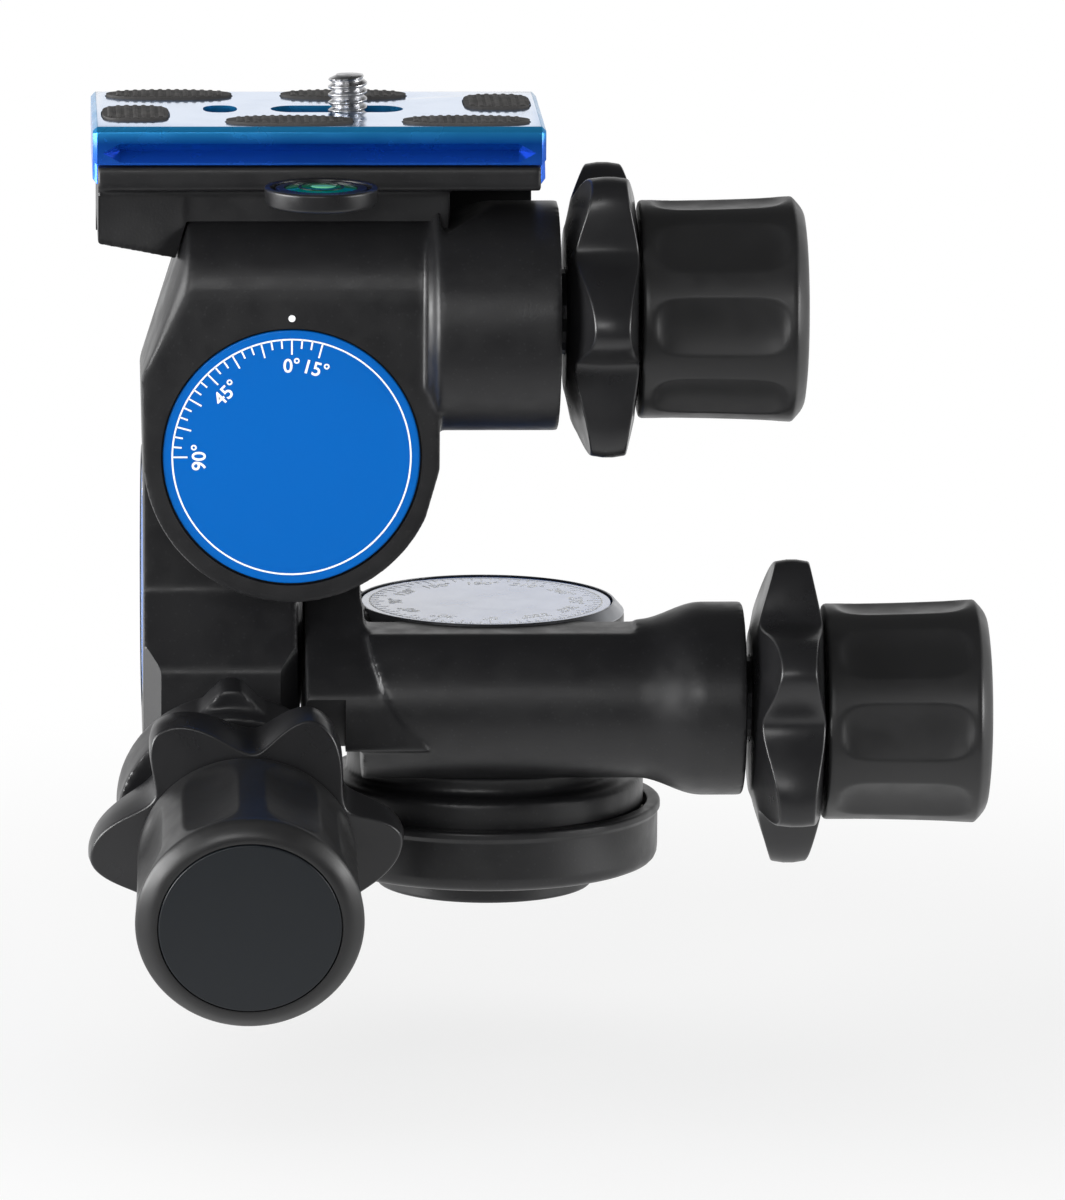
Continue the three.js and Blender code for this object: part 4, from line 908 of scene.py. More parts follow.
def print_figure(name, words, at, body):
    curve = bpy.data.curves.new(name, "FONT")
    curve.body = words
    curve.size = figure_size
    curve.align_x = "CENTER"
    curve.align_y = "CENTER"
    curve.extrude = print_height / 2
    curve.offset = figure_weight
    curve.resolution_u = 4
    piece = bpy.data.objects.new(name, curve)
    piece.matrix_world = at
    scene.collection.objects.link(piece)
    curve.materials.append(print_white)
    bpy.context.view_layer.update()
    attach(piece, body)


def dress_dial(key, up_way, ticks, figures):
    at = dial_frame(key, up_way)
    body = body_of_dial[key]
    form = bmesh.new()
    turn(form, rounded([
        (0, -dial_depth), (dial_hub, -dial_depth), (dial_hub, -dial_flange), (dial_radius, -dial_flange),
        (dial_radius, 0, dial_edge), (0, 0),
    ], dial_round, closed=False), at)
    disc = add_piece(f"{key}_dial_disc", form)
    smooth(disc)
    even_normals(disc)
    dress(disc, dial_gloss_painted_reflection if key == "pan" else dial_blue, body, "dial_blue", f"{key}_dial")
    form = bmesh.new()
    washer(form, scale_radius - line_width / 2, scale_radius + line_width / 2, print_low, print_height, at)
    for degrees in ticks:
        tick(form, math.radians(degrees), long_tick if degrees % 15 == 0 else short_tick, at)
    dress(add_piece(f"{key}_scale", form), print_white, body, "dial_blue")
    on_scale = Matrix.Translation((0, scale_radius - figure_inset, print_height / 2))
    for degrees, figure in figures:
        spot = at @ Matrix.Rotation(math.radians(degrees), 4, "Z") @ on_scale
        print_figure(f"{key}_mark_{figure}_{abs(degrees)}", f"{figure}°", spot, body)


dress_dial("roll", (0, 0, 1), range(-15, 91, 5), [(turned, abs(turned)) for turned in (90, 45, 0, -15)])
dress_dial("tilt", (0, 0, 1), range(-90, 16, 5), [(turned, abs(turned)) for turned in (-90, -45, 0, 15)])
dress_dial("pan", (0, -1, 0), range(0, 360, 5), [(turned, -turned % 360) for turned in range(0, 360, 30)])

# Pan dial bevel: a ring on the case's bevel round the pan dial, in light satin metal as a painted highlight
# on the black cast bevel.
bevel_painted_highlight, tree, shader = finish_of("bevel_painted_highlight", (0.34, 0.35, 0.37, 1), 0.34, metallic=1)
place = grain(tree, shader, size=0.0005, depth=0.000005, strength=0.5)
vary_gloss(tree, shader, place, size=0.004, low=0.28, high=0.42)
bezel_inner = drum_radius - rim_bevel
bezel_top = pan_top - 0.00005
bezel_lap = 0.0001
bezel_sink = 0.0003
bezel_step = 0.0002
bezel_round = 0.0008
bezel_slope = 0.85 * rim_bevel
form = bmesh.new()
turn(form, rounded([
    (bezel_inner + bezel_lap, pan_top - bezel_sink),
    (drum_radius - bezel_step, pan_top - rim_bevel - bezel_sink),
    (drum_radius, pan_top - rim_bevel, bezel_step), (drum_radius - bezel_slope, bezel_top, bezel_round),
    (bezel_inner - bezel_lap, bezel_top, bezel_step),
], 0), ring=True)
bevel_highlight_ring = add_piece("pan_bevel_painted_highlight", form)
smooth(bevel_highlight_ring, 60)
dress(bevel_highlight_ring, bevel_painted_highlight, "pan_body", "cast_black")

# Index mark: a white enamel dot let into the roll case over its dial, to read the scale by.
# It stands slightly proud of the casting.
dot_height = 0.0222
dot_radius = 0.00055
dot_round = 0.0001
dot_front = -roll_face - 0.00012
dot_back = -roll_face + 0.0008
dot_line = Matrix.Translation((roll_hub.x, 0, roll_hub.z + dot_height)) @ FRONT
form = bmesh.new()
profile = [(0, dot_front), (dot_radius, dot_front), (dot_radius, dot_back), (0, dot_back)]
turn(form, rounded(profile, dot_round, closed=False), dot_line, 32)
index_dot = add_piece("roll_index_dot", form)
smooth(index_dot)
dress(index_dot, print_white, "roll_body", "cast_black")

# Release collars: glossy moulded plastic stars with six lobes, each steep on one side, and
# sloped faces, so that a finger can turn them against the spring.
collar_plastic, tree, shader = finish_of("collar_plastic", (0.011, 0.011, 0.012, 1), 0.3, specular=0.5)
place = grain(tree, shader, size=0.0005, depth=0.000006, strength=0.4)
vary_gloss(tree, shader, place, size=0.006, low=0.27, high=0.38)
lobes = 6
tip_radius = 0.0247
waist_radius = 0.0176
lobe_step = 2 * math.pi / lobes
lobe_rise = 0.62 * lobe_step
star_turns = {"pan": math.radians(33), "tilt": math.radians(34), "roll": math.radians(29)}
collar_gap = 0.0012
collar_thickness = 0.0114
collar_sides = 240
collar_edge = 0.00055
collar_bulge = 0.0003
shaft_bore = 0.0034
back_hub = 0.013
front_hub = 0.0145
waist_back = 0.0009
tip_back = 0.0036
waist_setback = 0.0002
tip_setback = 0.002
collar_web = 0.003
collar_parts = (("back", 8), ("back_edge", 4), ("side", 3), ("front_edge", 4), ("front", 8))


def collar_point(kind, t, reach, back_face):
    front_face = back_face + collar_thickness
    rim = waist_radius + (tip_radius - waist_radius) * reach
    rim_back = back_face + waist_back + (tip_back - waist_back) * reach
    rim_front = front_face - waist_setback - (tip_setback - waist_setback) * reach
    bend = math.pi / 2 * t
    if kind == "bore":
        return shaft_bore, back_face + collar_thickness * t
    if kind == "hub":
        return back_hub, back_face
    if kind == "back":
        return back_hub + (rim - collar_edge - back_hub) * t, back_face + (rim_back - back_face) * t**0.9
    if kind == "back_edge":
        return rim - collar_edge * (1 - math.sin(bend)), rim_back + collar_edge * (1 - math.cos(bend))
    if kind == "side":
        run = rim_front - rim_back - 2 * collar_edge
        return rim + collar_bulge * math.sin(math.pi * t), rim_back + collar_edge + run * t
    if kind == "front_edge":
        return rim - collar_edge * (1 - math.cos(bend)), rim_front - collar_edge * (1 - math.sin(bend))
    return rim - collar_edge + (front_hub - rim + collar_edge) * t, rim_front + (front_face - rim_front) * t


def dress_collar(key):
    at = line_frame(key, f"{key}_knob_turn")
    back_face = neck_ends[key] + collar_gap
    section = [("bore", 0), ("hub", 0)]
    for kind, steps in collar_parts:
        section += [(kind, k / steps) for k in range(1, steps + 1)]
    form = bmesh.new()
    rings = []
    for kind, t in section + [("bore", 1)]:
        circle = []
        for k in range(collar_sides):
            angle = 2 * math.pi * k / collar_sides
            off = (angle - star_turns[key] + lobe_rise) % lobe_step - lobe_rise
            reach = (1 + math.cos(math.pi * off / (lobe_rise if off < 0 else lobe_step - lobe_rise))) / 2
            r, z = collar_point(kind, t, reach, back_face)
            circle.append(form.verts.new(at @ Vector((r * math.cos(angle), r * math.sin(angle), z))))
        rings.append(circle)
    for low, high in zip(rings, rings[1:] + rings[:1]):
        for k in range(collar_sides):
            n = (k + 1) % collar_sides
            form.faces.new((low[k], low[n], high[n], high[k]))
    collar = add_piece(f"{key}_star_collar", form)
    pocket = bmesh.new()
    pocket_end = back_face + collar_thickness - collar_web
    sleeve_line = line_frame(key, f"{key}_release")
    bore(pocket, sleeve_bore, back_face - tool_margin, pocket_end, sleeve_line, bore_sides)
    cut_away(collar, pocket)
    smooth(collar, 50)
    dress(collar, collar_plastic, f"{key}_carrier", "cap_black", f"{key}_release_collar")


for key in ("pan", "tilt", "roll"):
    dress_collar(key)

# Grip knobs: satin black mouldings that widen towards the end, with eight long shallow
# scallops, a domed shoulder and a smooth disc let into the end.
grip_black, tree, shader = finish_of("grip_black", (0.012, 0.012, 0.0125, 1), 0.36, specular=0.5)
place = grain(tree, shader, size=0.0003, depth=0.000006, strength=0.5)
vary_gloss(tree, shader, place, size=0.005, low=0.34, high=0.44)
cap_black, tree, shader = finish_of("cap_black", (0.0075, 0.0095, 0.012, 1), 0.36, specular=0.4)
place = grain(tree, shader, size=0.0004, depth=0.000004, strength=0.4)
vary_gloss(tree, shader, place, size=0.006, low=0.32, high=0.42)
knob_length = 0.0265
knob_gap = 0.0003
knob_bore = 0.0033
knob_sides = 320
near_radius = 0.0173
near_round = 0.0006
near_steps = 3
far_radius = 0.0179
far_edge = ((0.0001, 0.0003), (0.0005, 0.0007))
wall_levels = 40
knob_crown = 0.0024
crown_steps = 5
crown_sink = 0.0002
cap_radius = 0.0143
cap_gap = 0.0002
cap_land = 0.0005
cap_top = 0.0001
cap_bottom = 0.0013
cap_edge = 0.0003
cap_round = 0.0001
cap_seat = 0.0016
flutes = 8
flute_step = 2 * math.pi / flutes
flute_depth = 0.0011
flute_half = math.radians(15.5)
flute_start = 0.0018
flute_margin = 0.0026
grip_from = near_radius - 0.002
knob_turns = {"pan": 0, "tilt": math.radians(21), "roll": 0}


def dress_knob(key):
    at = line_frame(key, f"{key}_knob_turn")
    near = neck_ends[key] + collar_gap + collar_thickness + knob_gap
    far = near + knob_length
    wall_top = far - knob_crown
    wall_base = near + near_round
    profile = [(knob_bore, near), (near_radius - 2 * near_round, near)]
    for k in range(near_steps + 1):
        bend = math.pi / 2 * k / near_steps
        r = near_radius - near_round * (1 - math.sin(bend))
        profile.append((r, wall_base - near_round * math.cos(bend)))
    for k in range(1, wall_levels + 1):
        t = k / wall_levels
        r = near_radius + (far_radius - near_radius) * t**2
        profile.append((r, wall_base + (wall_top - wall_base) * t))
    profile += [(far_radius - inward, wall_top + upward) for inward, upward in far_edge]
    crown_radius, crown_low = profile[-1]
    for k in range(1, crown_steps + 1):
        t = k / crown_steps
        r = crown_radius + (cap_radius + cap_land - crown_radius) * t
        profile.append((r, crown_low + (far - crown_sink - crown_low) * math.sin(math.pi / 2 * t)))
    seat_radius = cap_radius + cap_gap
    profile += [(seat_radius, far - cap_edge), (seat_radius, far - cap_seat), (knob_bore, far - cap_seat)]

    def scalloped(level, radius, height, angle):
        along = (height - near - flute_start) / (wall_top - near - flute_margin) * 2 - 1
        if radius < grip_from or abs(along) >= 1:
            return radius, height
        off = abs((angle - knob_turns[key] + flute_step / 2) % flute_step - flute_step / 2)
        half = flute_half * (1 - abs(along) ** 6) ** 0.4
        across = max(0, 1 - (off / max(half, least_span)) ** 2)
        return radius - flute_depth * across * (1 - abs(along) ** 8), height

    form = bmesh.new()
    turn(form, profile, at, knob_sides, ring=True, radius_at=scalloped)
    knob = add_piece(f"{key}_grip", form)
    smooth(knob, 40)
    dress(knob, grip_black, f"{key}_drive", "grip_black", f"{key}_knob")
    low, high = far - cap_bottom, far - cap_top
    profile = [(0, low), (cap_radius, low), (cap_radius, high, cap_edge), (0, high)]
    form = bmesh.new()
    turn(form, rounded(profile, cap_round, closed=False), at)
    cap = add_piece(f"{key}_end_disc", form)
    smooth(cap)
    even_normals(cap)
    dress(cap, cap_black, f"{key}_drive", "cap_black", f"{key}_knob_cap")


for key in ("pan", "tilt", "roll"):
    dress_knob(key)

# Clamp: the fixed body is a cast and machined deck with a keel under it, which widens to the
# left, seats on the roll case and stops short of its neck. The front lip holds the plate's foot.
clamp_low, clamp_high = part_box("clamp_body")
plate_low, plate_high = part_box("camera_plate")
screw_low, screw_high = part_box("clamp_screw")
fit = 0.0003
clear = 0.001
clamp_x = (clamp_low.x + clamp_high.x) / 2
plate_y = (plate_low.y + plate_high.y) / 2
plate_flange = 0.006
foot_inset = 0.0035
foot_undercut = 0.0017
foot_narrow = (plate_high.y - plate_low.y) / 2 - foot_inset
foot_wide = foot_narrow + foot_undercut
jaw_top = plate_high.z - plate_flange - fit
deck_top = plate_low.z - fit
deck_bottom = case_top + fit
strip_height = 0.0038
strip_round = 0.0008
strip_edge = 0.0005
deck_round = 0.0003
groove_steps = 3
form = bmesh.new()
raise_outline(form, rounded([
    (clamp_low.y, jaw_top - strip_height, strip_round), (clamp_high.y, deck_bottom, deck_round),
    (clamp_high.y, deck_top, deck_round), (plate_y - foot_wide - fit, deck_top),
    (plate_y - foot_wide - fit, plate_low.z), (plate_y - foot_narrow - fit, jaw_top, deck_round),
    (clamp_low.y, jaw_top, strip_edge),
], 0, steps=groove_steps), clamp_low.x, clamp_high.x, SIDE)
deck = add_piece("clamp_deck_form", form)

keel_depth = 0.0126
keel_end_depth = 0.009
keel_taper = 0.014
keel_inset = 0.0062
keel_right = -0.0076
keel_bottom = deck_top - keel_depth
form = bmesh.new()
raise_outline(form, [
    (clamp_low.x, deck_top - fit), (clamp_low.x, deck_top - keel_end_depth),
    (clamp_low.x + keel_taper, keel_bottom), (keel_right, keel_bottom), (keel_right, deck_top - fit),
], clamp_low.y + fit, clamp_high.y, FRONT)
keel = add_piece("clamp_keel_form", form)
before, start, inset = clamp_low.y - clear, clamp_low.y + fit, clamp_low.y + keel_inset
form = bmesh.new()
raise_outline(form, [
    (clamp_low.x - clear, before), (clamp_low.x - clear, start), (clamp_low.x, start),
    (clamp_low.x + keel_taper, inset), (clamp_high.x - keel_taper, inset),
    (clamp_high.x, start), (clamp_high.x + clear, start), (clamp_high.x + clear, before),
], keel_bottom - clear, deck_top + clear)
cut_away(keel, form)
form = bmesh.new()
for part in (deck, keel):
    form.from_mesh(part.data)
    bpy.data.objects.remove(part)

pin_radius = 0.0018
clamp_screw_radius = 0.0028
screw_line = Matrix.Translation((clamp_x, 0, (screw_low.z + screw_high.z) / 2)) @ FRONT


def clamp_bores(form, start=None):
    bore(form, clamp_screw_radius, screw_low.y - fit if start is None else start, 0, screw_line, 64)
    for k in (1, 2):
        low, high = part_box(f"jaw_guide_pin_{k}")
        pin_line = Matrix.Translation(((low.x + high.x) / 2, 0, (low.z + high.z) / 2)) @ FRONT
        bore(form, pin_radius, low.y - fit if start is None else start, 0, pin_line, 48)


cutters = bmesh.new()
roll_layers(cutters, fit)
clamp_bores(cutters)
clamp = cast("clamp_casting", form, cutters, 2)
dress(clamp, powder_coat, "roll_body", "cast_black", "clamp_body")

# Clamp jaw: a machined bar behind the deck, painted like it, that the clamp screw pulls against
# the plate's foot. It slides on two steel pins.
jaw_low, jaw_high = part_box("clamp_jaw")
jaw_round = 0.0006
form = bmesh.new()
raise_outline(form, rounded([
    (jaw_low.y, jaw_low.z, jaw_round), (jaw_high.y, jaw_low.z, jaw_round), (jaw_high.y, jaw_top, jaw_round),
    (plate_y + foot_narrow + fit, jaw_top, deck_round), (plate_y + foot_wide + fit, plate_low.z),
    (plate_y + foot_wide + fit, deck_top), (jaw_low.y, deck_top, deck_round),
], 0, steps=groove_steps), jaw_low.x, jaw_high.x, SIDE)
jaw = add_piece("jaw_bar", form)
cutters = bmesh.new()
clamp_bores(cutters, jaw_low.y - clear)
cut_away(jaw, cutters)
smooth(jaw)
dress(jaw, powder_coat, "jaw", "cast_black", "clamp_jaw")

# Clamp knob: a small satin black moulding with twelve rounded ridges, pressed on the end of the
# clamp screw. Its end is dished.
knob_low, knob_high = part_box("clamp_knob")
clamp_knob_radius = (knob_high.x - knob_low.x) / 2
clamp_knob_ridges = 12
clamp_knob_near = 0.0009
clamp_knob_far = 0.0016
dish_radius = 0.62 * clamp_knob_radius
dish_floor = 0.6 * clamp_knob_radius
dish_depth = 0.0007
dish_edge = 0.0004
dish_round = 0.0003
ridge_from = 0.7
ridge_depth = 0.1


def ridged(level, radius, height, angle):
    groove = max(0, math.cos(clamp_knob_ridges * angle)) ** 1.3
    share = max(0, min(1, (radius / clamp_knob_radius - ridge_from) / (1 - ridge_from)))
    return radius * (1 - ridge_depth * groove * share), height


profile = rounded([
    (clamp_screw_radius, knob_low.y), (clamp_knob_radius, knob_low.y, clamp_knob_near),
    (clamp_knob_radius, knob_high.y, clamp_knob_far), (dish_radius, knob_high.y, dish_edge),
    (dish_floor, knob_high.y - dish_depth, dish_round), (clamp_screw_radius, knob_high.y - dish_depth),
], 0, closed=False)
form = bmesh.new()
turn(form, profile, screw_line, 240, ring=True, radius_at=ridged)
clamp_knob = add_piece("ridged_clamp_knob", form)
smooth(clamp_knob, 50)
dress(clamp_knob, grip_black, "clamp_drive", "grip_black", "clamp_knob")

# Level: a round moulded cup on the front of the clamp, with green spirit under a domed window,
# a bubble and the black centring ring.
level_green, tree, shader = finish_of("level_green", (0.0, 0.17, 0.075, 1), 0.12, coat=0.4)
place = grain(tree, shader, size=0.001, depth=0.000002, strength=0.3)
vary_gloss(tree, shader, place, size=0.004, low=0.08, high=0.16)
bubble_green, tree, shader = finish_of("bubble_green", (0.18, 0.62, 0.32, 1), 0.06, coat=1)
place = grain(tree, shader, size=0.001, depth=0.000001, strength=0.3)
vary_gloss(tree, shader, place, size=0.004, low=0.04, high=0.09)
mark_black, tree, shader = finish_of("mark_black", (0.01, 0.01, 0.012, 1), 0.25)
place = grain(tree, shader, size=0.0006, depth=0.000003, strength=0.4)
vary_gloss(tree, shader, place, size=0.003, low=0.2, high=0.32)
cup_low, cup_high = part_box("level_cup")
vial_low, vial_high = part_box("level_vial")
cup_radius = (cup_high.x - cup_low.x) / 2
cup_wall = 0.0014
cup_draft = 0.0004
cup_floor = cup_low.z + 0.0008
cup_foot = 0.0009
cup_rim = 0.0005
cup_inner_rim = 0.0003
cup_round = 0.0002
cup_trim = 0.01
cup_line = Matrix.Translation((clamp_x, (vial_low.y + vial_high.y) / 2, 0))
form = bmesh.new()
turn(form, rounded([
    (0, cup_low.z), (cup_radius - cup_draft, cup_low.z, cup_foot), (cup_radius, cup_high.z, cup_rim),
    (cup_radius - cup_wall * 0.75, cup_high.z, cup_inner_rim), (cup_radius - cup_wall, cup_floor, cup_round),
    (0, cup_floor),
], 0, closed=False), cup_line)
cup = add_piece("level_cup_body", form)
cutters = bmesh.new()
behind_cup = oblong(cup_low.x - clear, cup_high.x + clear, cup_high.y, cup_high.y + cup_trim)
raise_outline(cutters, behind_cup, cup_low.z - clear, cup_high.z + clear)
cut_away(cup, cutters)
smooth(cup)
dress(cup, collar_plastic, "roll_body", "cast_black", "level_cup")

window_top = cup_high.z
window_radius = 0.0057
window_edge = 0.0003
window_round = 0.0002
dome_radius = 0.55 * window_radius
dome_fall = 0.00005
dome_round = 0.004
form = bmesh.new()
turn(form, rounded([
    (0, vial_low.z), (window_radius, vial_low.z, window_round),
    (window_radius, window_top - window_edge, window_round),
    (dome_radius, window_top - dome_fall, dome_round), (0, window_top),
], 0, closed=False), cup_line, 96)
vial = add_piece("level_window", form)
smooth(vial)
dress(vial, level_green, "roll_body", "level_green", "level_vial")

bezel_fit = 0.0001
bezel_radius = cup_radius - cup_wall - cup_draft
bezel_edge = 0.0002
form = bmesh.new()
turn(form, rounded([
    (window_radius + bezel_fit, vial_low.z), (bezel_radius, vial_low.z),
    (bezel_radius, window_top - bezel_edge, bezel_edge),
    (window_radius + bezel_fit, window_top - bezel_fit, bezel_fit),
], 0), cup_line, 96, ring=True)
bezel = add_piece("level_bezel", form)
smooth(bezel)
dress(bezel, collar_plastic, "roll_body", "cast_black")

bubble_radius = 0.0021
bubble_place = (0.0003, 0.0004, window_top - 0.0001)
bubble_sink = -0.0002
bubble_dome = [(0.97, 0.00005), (0.8, 0.00018), (0.4, 0.00026), (0, 0.00028)]
form = bmesh.new()
profile = [(0, bubble_sink), (bubble_radius, bubble_sink)]
profile += [(share * bubble_radius, rise) for share, rise in bubble_dome]
turn(form, profile, cup_line @ Matrix.Translation(bubble_place), 48)
bubble = add_piece("level_bubble", form)
smooth(bubble, 60)
dress(bubble, bubble_green, "roll_body", "level_green")

mark_radius = 0.0032
mark_width = 0.0004
mark_depth = 0.0006
form = bmesh.new()
washer(form, mark_radius, mark_radius + mark_width, window_top - mark_depth, window_top, cup_line, 64)
mark = add_piece("level_mark", form)
smooth(mark)
dress(mark, mark_black, "roll_body", "cast_black")

# Camera plate: machined from aluminium bar and anodised bright blue, with a groove along each
# long side, a slot for the screw, a pin hole and pockets for the pads. The flat top is glossier, and lighter
# as painted reflection.
plate_chamfer = 0.0008
corner_cut = 0.0007
edge_ease = 0.00012
square_corner = math.radians(57)
sharp_edge = math.radians(20)
half_width = (plate_high.y - plate_low.y) / 2
half_length = (plate_high.x - plate_low.x) / 2
flange_low = plate_high.z - plate_flange
half_section = [
    (half_width - plate_chamfer, plate_high.z), (half_width, plate_high.z - plate_chamfer),
    (half_width, flange_low), (foot_narrow, flange_low), (foot_wide, plate_low.z),
]
section = half_section + [(-a, b) for a, b in reversed(half_section)]
form = bmesh.new()
raise_outline(form, [(plate_y + a, b) for a, b in section], plate_low.x, plate_high.x, SIDE)
bmesh.ops.recalc_face_normals(form, faces=form.faces)
ends = []
for edge in form.edges:
    way = (edge.verts[0].co - edge.verts[1].co).normalized()
    if edge.calc_face_angle(0) > square_corner and way.cross(Vector((1, 0, 0))).length > 0.5:
        ends.append(edge)
bmesh.ops.bevel(form, geom=ends, offset=corner_cut, segments=1, affect="EDGES")
bmesh.ops.recalc_face_normals(form, faces=form.faces)
sharp = [edge for edge in form.edges if len(edge.link_faces) == 2 and edge.calc_face_angle(0) > sharp_edge]
bmesh.ops.bevel(
    form, geom=sharp, offset=edge_ease, segments=2, affect="EDGES", profile=0.6, clamp_overlap=True)
plate = add_piece("plate_bar", form)

groove_top = 0.0026
groove_depth = 0.0024
groove_height = 0.003
groove_margin = 0.0003
groove_slope = 0.004
groove_outer = half_width + groove_depth / 2
groove_inner = half_width - groove_depth
groove_spread = groove_height / 2 * (groove_outer - groove_inner) / groove_depth
groove_z = plate_high.z - groove_top - groove_height / 2
groove_reach = half_length - groove_margin
groove_low, groove_high = groove_z - groove_spread, groove_z + groove_spread
corners = [(groove_outer, groove_low), (groove_outer, groove_high), (groove_inner, groove_z)]
cutters = bmesh.new()
for sign in (-1, 1):
    ends = []
    for end in (-1, 1):
        tip = cutters.verts.new((clamp_x + end * groove_reach, plate_y + sign * groove_outer, groove_z))
        across = clamp_x + end * (groove_reach - groove_slope)
        ends.append([cutters.verts.new((across, plate_y + sign * y, z)) for y, z in corners])
        for k in range(3):
            cutters.faces.new((tip, ends[-1][k], ends[-1][(k + 1) % 3]))
    for k in range(3):
        n = (k + 1) % 3
        cutters.faces.new((ends[0][k], ends[1][k], ends[1][n], ends[0][n]))


def oval(middle, length, width, power, sides=48):
    points = []
    for k in range(sides):
        angle = 2 * math.pi * k / sides
        c, v = math.cos(angle), math.sin(angle)
        x = math.copysign(abs(c) ** (2 / power), c) * length / 2
        y = math.copysign(abs(v) ** (2 / power), v) * width / 2
        points.append((middle[0] + x, middle[1] + y))
    return points


def long_slot(middle_x, length, width, steps=24):
    run = (length - width) / 2
    points = []
    for way, quarter in ((1, -0.5), (-1, 0.5)):
        for k in range(steps + 1):
            angle = math.pi * (k / steps + quarter)
            x = middle_x + way * run + math.cos(angle) * width / 2
            points.append((x, plate_y + math.sin(angle) * width / 2))
    return points


slot_length = 0.021
slot_width = 0.007
slot_x = clamp_x + 0.0032
hole_x = clamp_x - 0.0153
hole_length = 0.0054
hole_width = 0.0074
hole_power = 2.5
head_room = 0.0067
head_height = 0.0016
pad_gap = 0.0002
pad_pocket = 0.0008
long_pad_power = 2.3
short_pad_power = 3.5
camera_screw_low, camera_screw_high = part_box("camera_screw")
head_top = camera_screw_low.z + head_height
hole = oval((hole_x, plate_y), hole_length, hole_width, hole_power)
raise_outline(cutters, hole, plate_low.z - clear, plate_high.z + clear)
cut_away(plate, cutters)
cutters = bmesh.new()
raise_outline(cutters, long_slot(slot_x, slot_length, slot_width), plate_low.z - clear, plate_high.z + clear)
cut_away(plate, cutters)
cutters = bmesh.new()
head_slot = long_slot(slot_x, slot_length - slot_width + 2 * head_room, 2 * head_room)
raise_outline(cutters, head_slot, plate_low.z - clear, head_top + fit)
pads = []
for k in range(6):
    low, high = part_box(f"plate_pad_{k + 1}")
    middle, size = (low + high) / 2, high - low
    power = long_pad_power if size.x > size.y else short_pad_power
    pads.append((middle, size.x, size.y, power, low.z, high.z))
    pocket = oval(middle[:2], size.x + 2 * pad_gap, size.y + 2 * pad_gap, power)
    raise_outline(cutters, pocket, plate_high.z - pad_pocket, plate_high.z + clear)
cut_away(plate, cutters)
smooth(plate, 25)

plate_blue, tree, shader = finish_of(
    "plate_blue", (0.006, 0.1, 0.5, 1), 0.24, metallic=0.6, specular=0.3, coat=0.25)
place = grain(tree, shader, size=0.0005, depth=0.000003, strength=0.4)
vary_gloss(tree, shader, place, size=0.005, low=0.2, high=0.3)
# The plate's blue is painted by height: darker navy at the grooves' level as painted shade, and lighter cyan
# towards the top edge as painted reflection.
split = tree.nodes.new("ShaderNodeSeparateXYZ")
level = tree.nodes.new("ShaderNodeMapRange")
level.inputs["From Min"].default_value = plate_low.z
level.inputs["From Max"].default_value = plate_high.z
shade = tree.nodes.new("ShaderNodeValToRGB")
foot_blue = (0.3, (0.015, 0.11, 0.6, 1))
groove_painted_shade = (0.72, (0.0, 0.06, 0.32, 1))
top_edge_painted_reflection = (0.98, (0.02, 0.26, 0.55, 1))
shade.color_ramp.elements.new(groove_painted_shade[0])
for stop, (position, colour) in zip(shade.color_ramp.elements, (foot_blue, groove_painted_shade, top_edge_painted_reflection)):
    stop.position = position
    stop.color = colour
tree.links.new(place.outputs["Object"], split.inputs[0])
tree.links.new(split.outputs["Z"], level.inputs["Value"])
tree.links.new(level.outputs[0], shade.inputs["Fac"])
tree.links.new(shade.outputs[0], shader.inputs["Base Color"])
# The flat top gets a lighter, glossier copy of the blue: the lighter colour is painted reflection.
plate_top_painted_reflection, tree, shader = finish_of("plate_top_painted_reflection", (0.25, 0.45, 0.8, 1), 0.14, metallic=0.9, coat=1)
shader.inputs["Coat IOR"].default_value = 2.2
shader.inputs["Coat Roughness"].default_value = 0.08
place = grain(tree, shader, size=0.0004, depth=0.000002, strength=0.4)
vary_gloss(tree, shader, place, size=0.006, low=0.1, high=0.2)
dress(plate, plate_blue, "plate", "anodised_blue", "camera_plate")
plate.data.materials.append(plate_top_painted_reflection)
upward = 0.99
flat_within = 0.00005
for face in plate.data.polygons:
    if face.normal.z > upward and abs(face.center.z - plate_high.z) < flat_within:
        face.material_index = 1

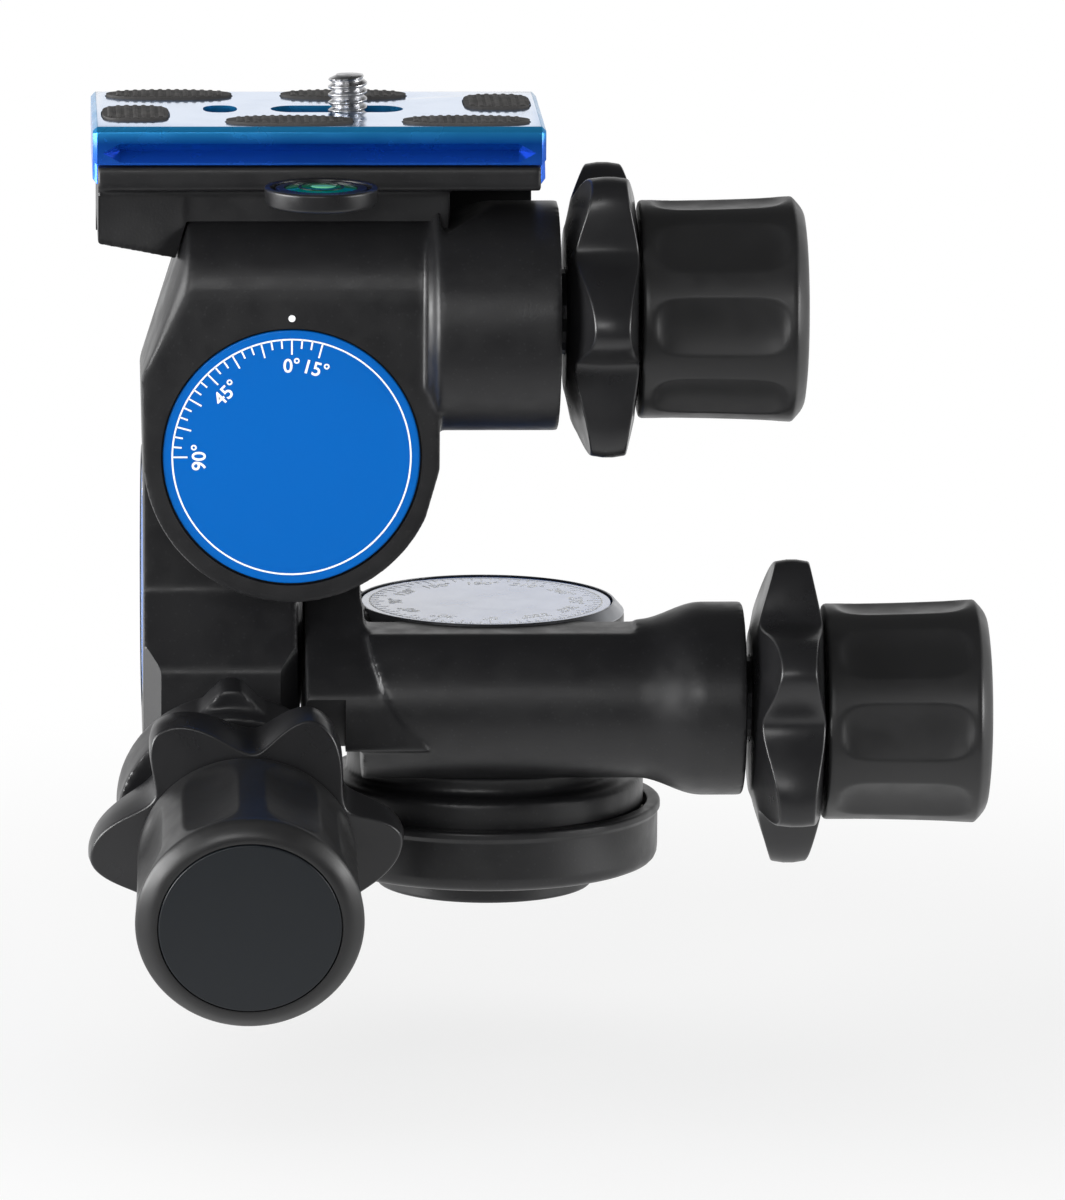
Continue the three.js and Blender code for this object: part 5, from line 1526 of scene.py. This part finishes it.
# Pads: six dark rubber mouldings, oval or nearly square, with ribs from front to back. They
# are pressed into the plate's pockets and grip the camera.
pad_rubber, tree, shader = finish_of("pad_rubber", (0.06, 0.057, 0.055, 1), 0.7, specular=0.4)
place = grain(tree, shader, size=0.0003, depth=0.00003, strength=0.7)
vary_gloss(tree, shader, place, size=0.002, low=0.6, high=0.8)
rib_pitch = 0.00133
rib_height = 0.0002
rib_inset = 0.00035
rib_foot = 0.3
rib_limit = 0.95
rib_sink = 1.04
rib_section = [(-0.33, 0), (-0.25, 0.7), (-0.1, 1), (0.1, 1), (0.25, 0.7), (0.33, 0)]
for number, (middle, length, width, power, low_z, high_z) in enumerate(pads):
    form = bmesh.new()
    raise_outline(form, oval(middle[:2], length, width, power), low_z, high_z - rib_height)
    ribs = int(length / rib_pitch)
    for k in range(ribs):
        centre = (k - (ribs - 1) / 2) * rib_pitch
        share = (abs(centre) + rib_foot * rib_pitch) / (length / 2)
        if share >= rib_limit:
            continue
        reach = width / 2 * (1 - share**power) ** (1 / power) - rib_inset
        x, z = middle.x + centre, high_z - rib_height * rib_sink
        outline = [(x + a * rib_pitch, z + rib_height * b) for a, b in rib_section]
        raise_outline(form, outline, middle.y - reach, middle.y + reach, FRONT)
    pad = add_piece(f"ribbed_pad_{number + 1}", form)
    smooth(pad, 50)
    dress(pad, pad_rubber, "plate", "pad_rubber", f"plate_pad_{number + 1}")

# Camera screw: turned steel with a rolled quarter-inch thread, held in the plate's slot by its
# flat head.
pitch = 0.00127
thread_depth = 0.0006
thread_steps = 84
shank = 0.0031
head_edge = 0.0003
head_radius = (camera_screw_high.x - camera_screw_low.x) / 2
screw_x = (camera_screw_low.x + camera_screw_high.x) / 2
head_bottom = camera_screw_low.z
thread_start = plate_high.z - 0.0006
thread_end = camera_screw_high.z
run_in = 0.0008
tip_length = 0.0009
tip_flat = 0.0001
tip_slope = 0.8
crest_from = 0.12
crest_rise = 0.7
profile = [
    (0, head_bottom), (head_radius - head_edge, head_bottom), (head_radius, head_bottom + head_edge),
    (head_radius, head_top - head_edge), (head_radius - head_edge, head_top), (shank, head_top),
]
first_thread = len(profile)
for k in range(thread_steps + 1):
    profile.append((shank, thread_start + (thread_end - tip_flat - thread_start) * k / thread_steps))
profile.append((0, thread_end))


def threaded(level, radius, height, angle):
    if level < first_thread:
        return radius, height
    turnings = (height / pitch - angle / (2 * math.pi)) % 1
    wave = abs(turnings - 0.5) * 2
    crest = min(1, max(0, (wave - crest_from) / crest_rise))
    fade = min(1, (height - thread_start + run_in / 2) / run_in)
    tip = max(0, height - (thread_end - tip_length))
    return shank - thread_depth * (1 - crest) * fade - tip * tip_slope, height


form = bmesh.new()
turn(form, profile, Matrix.Translation((screw_x, plate_y, 0)), 72, radius_at=threaded)
screw = add_piece("threaded_screw", form)
smooth(screw, 50)
dress(screw, steel, "plate_screw", "steel", "camera_screw")
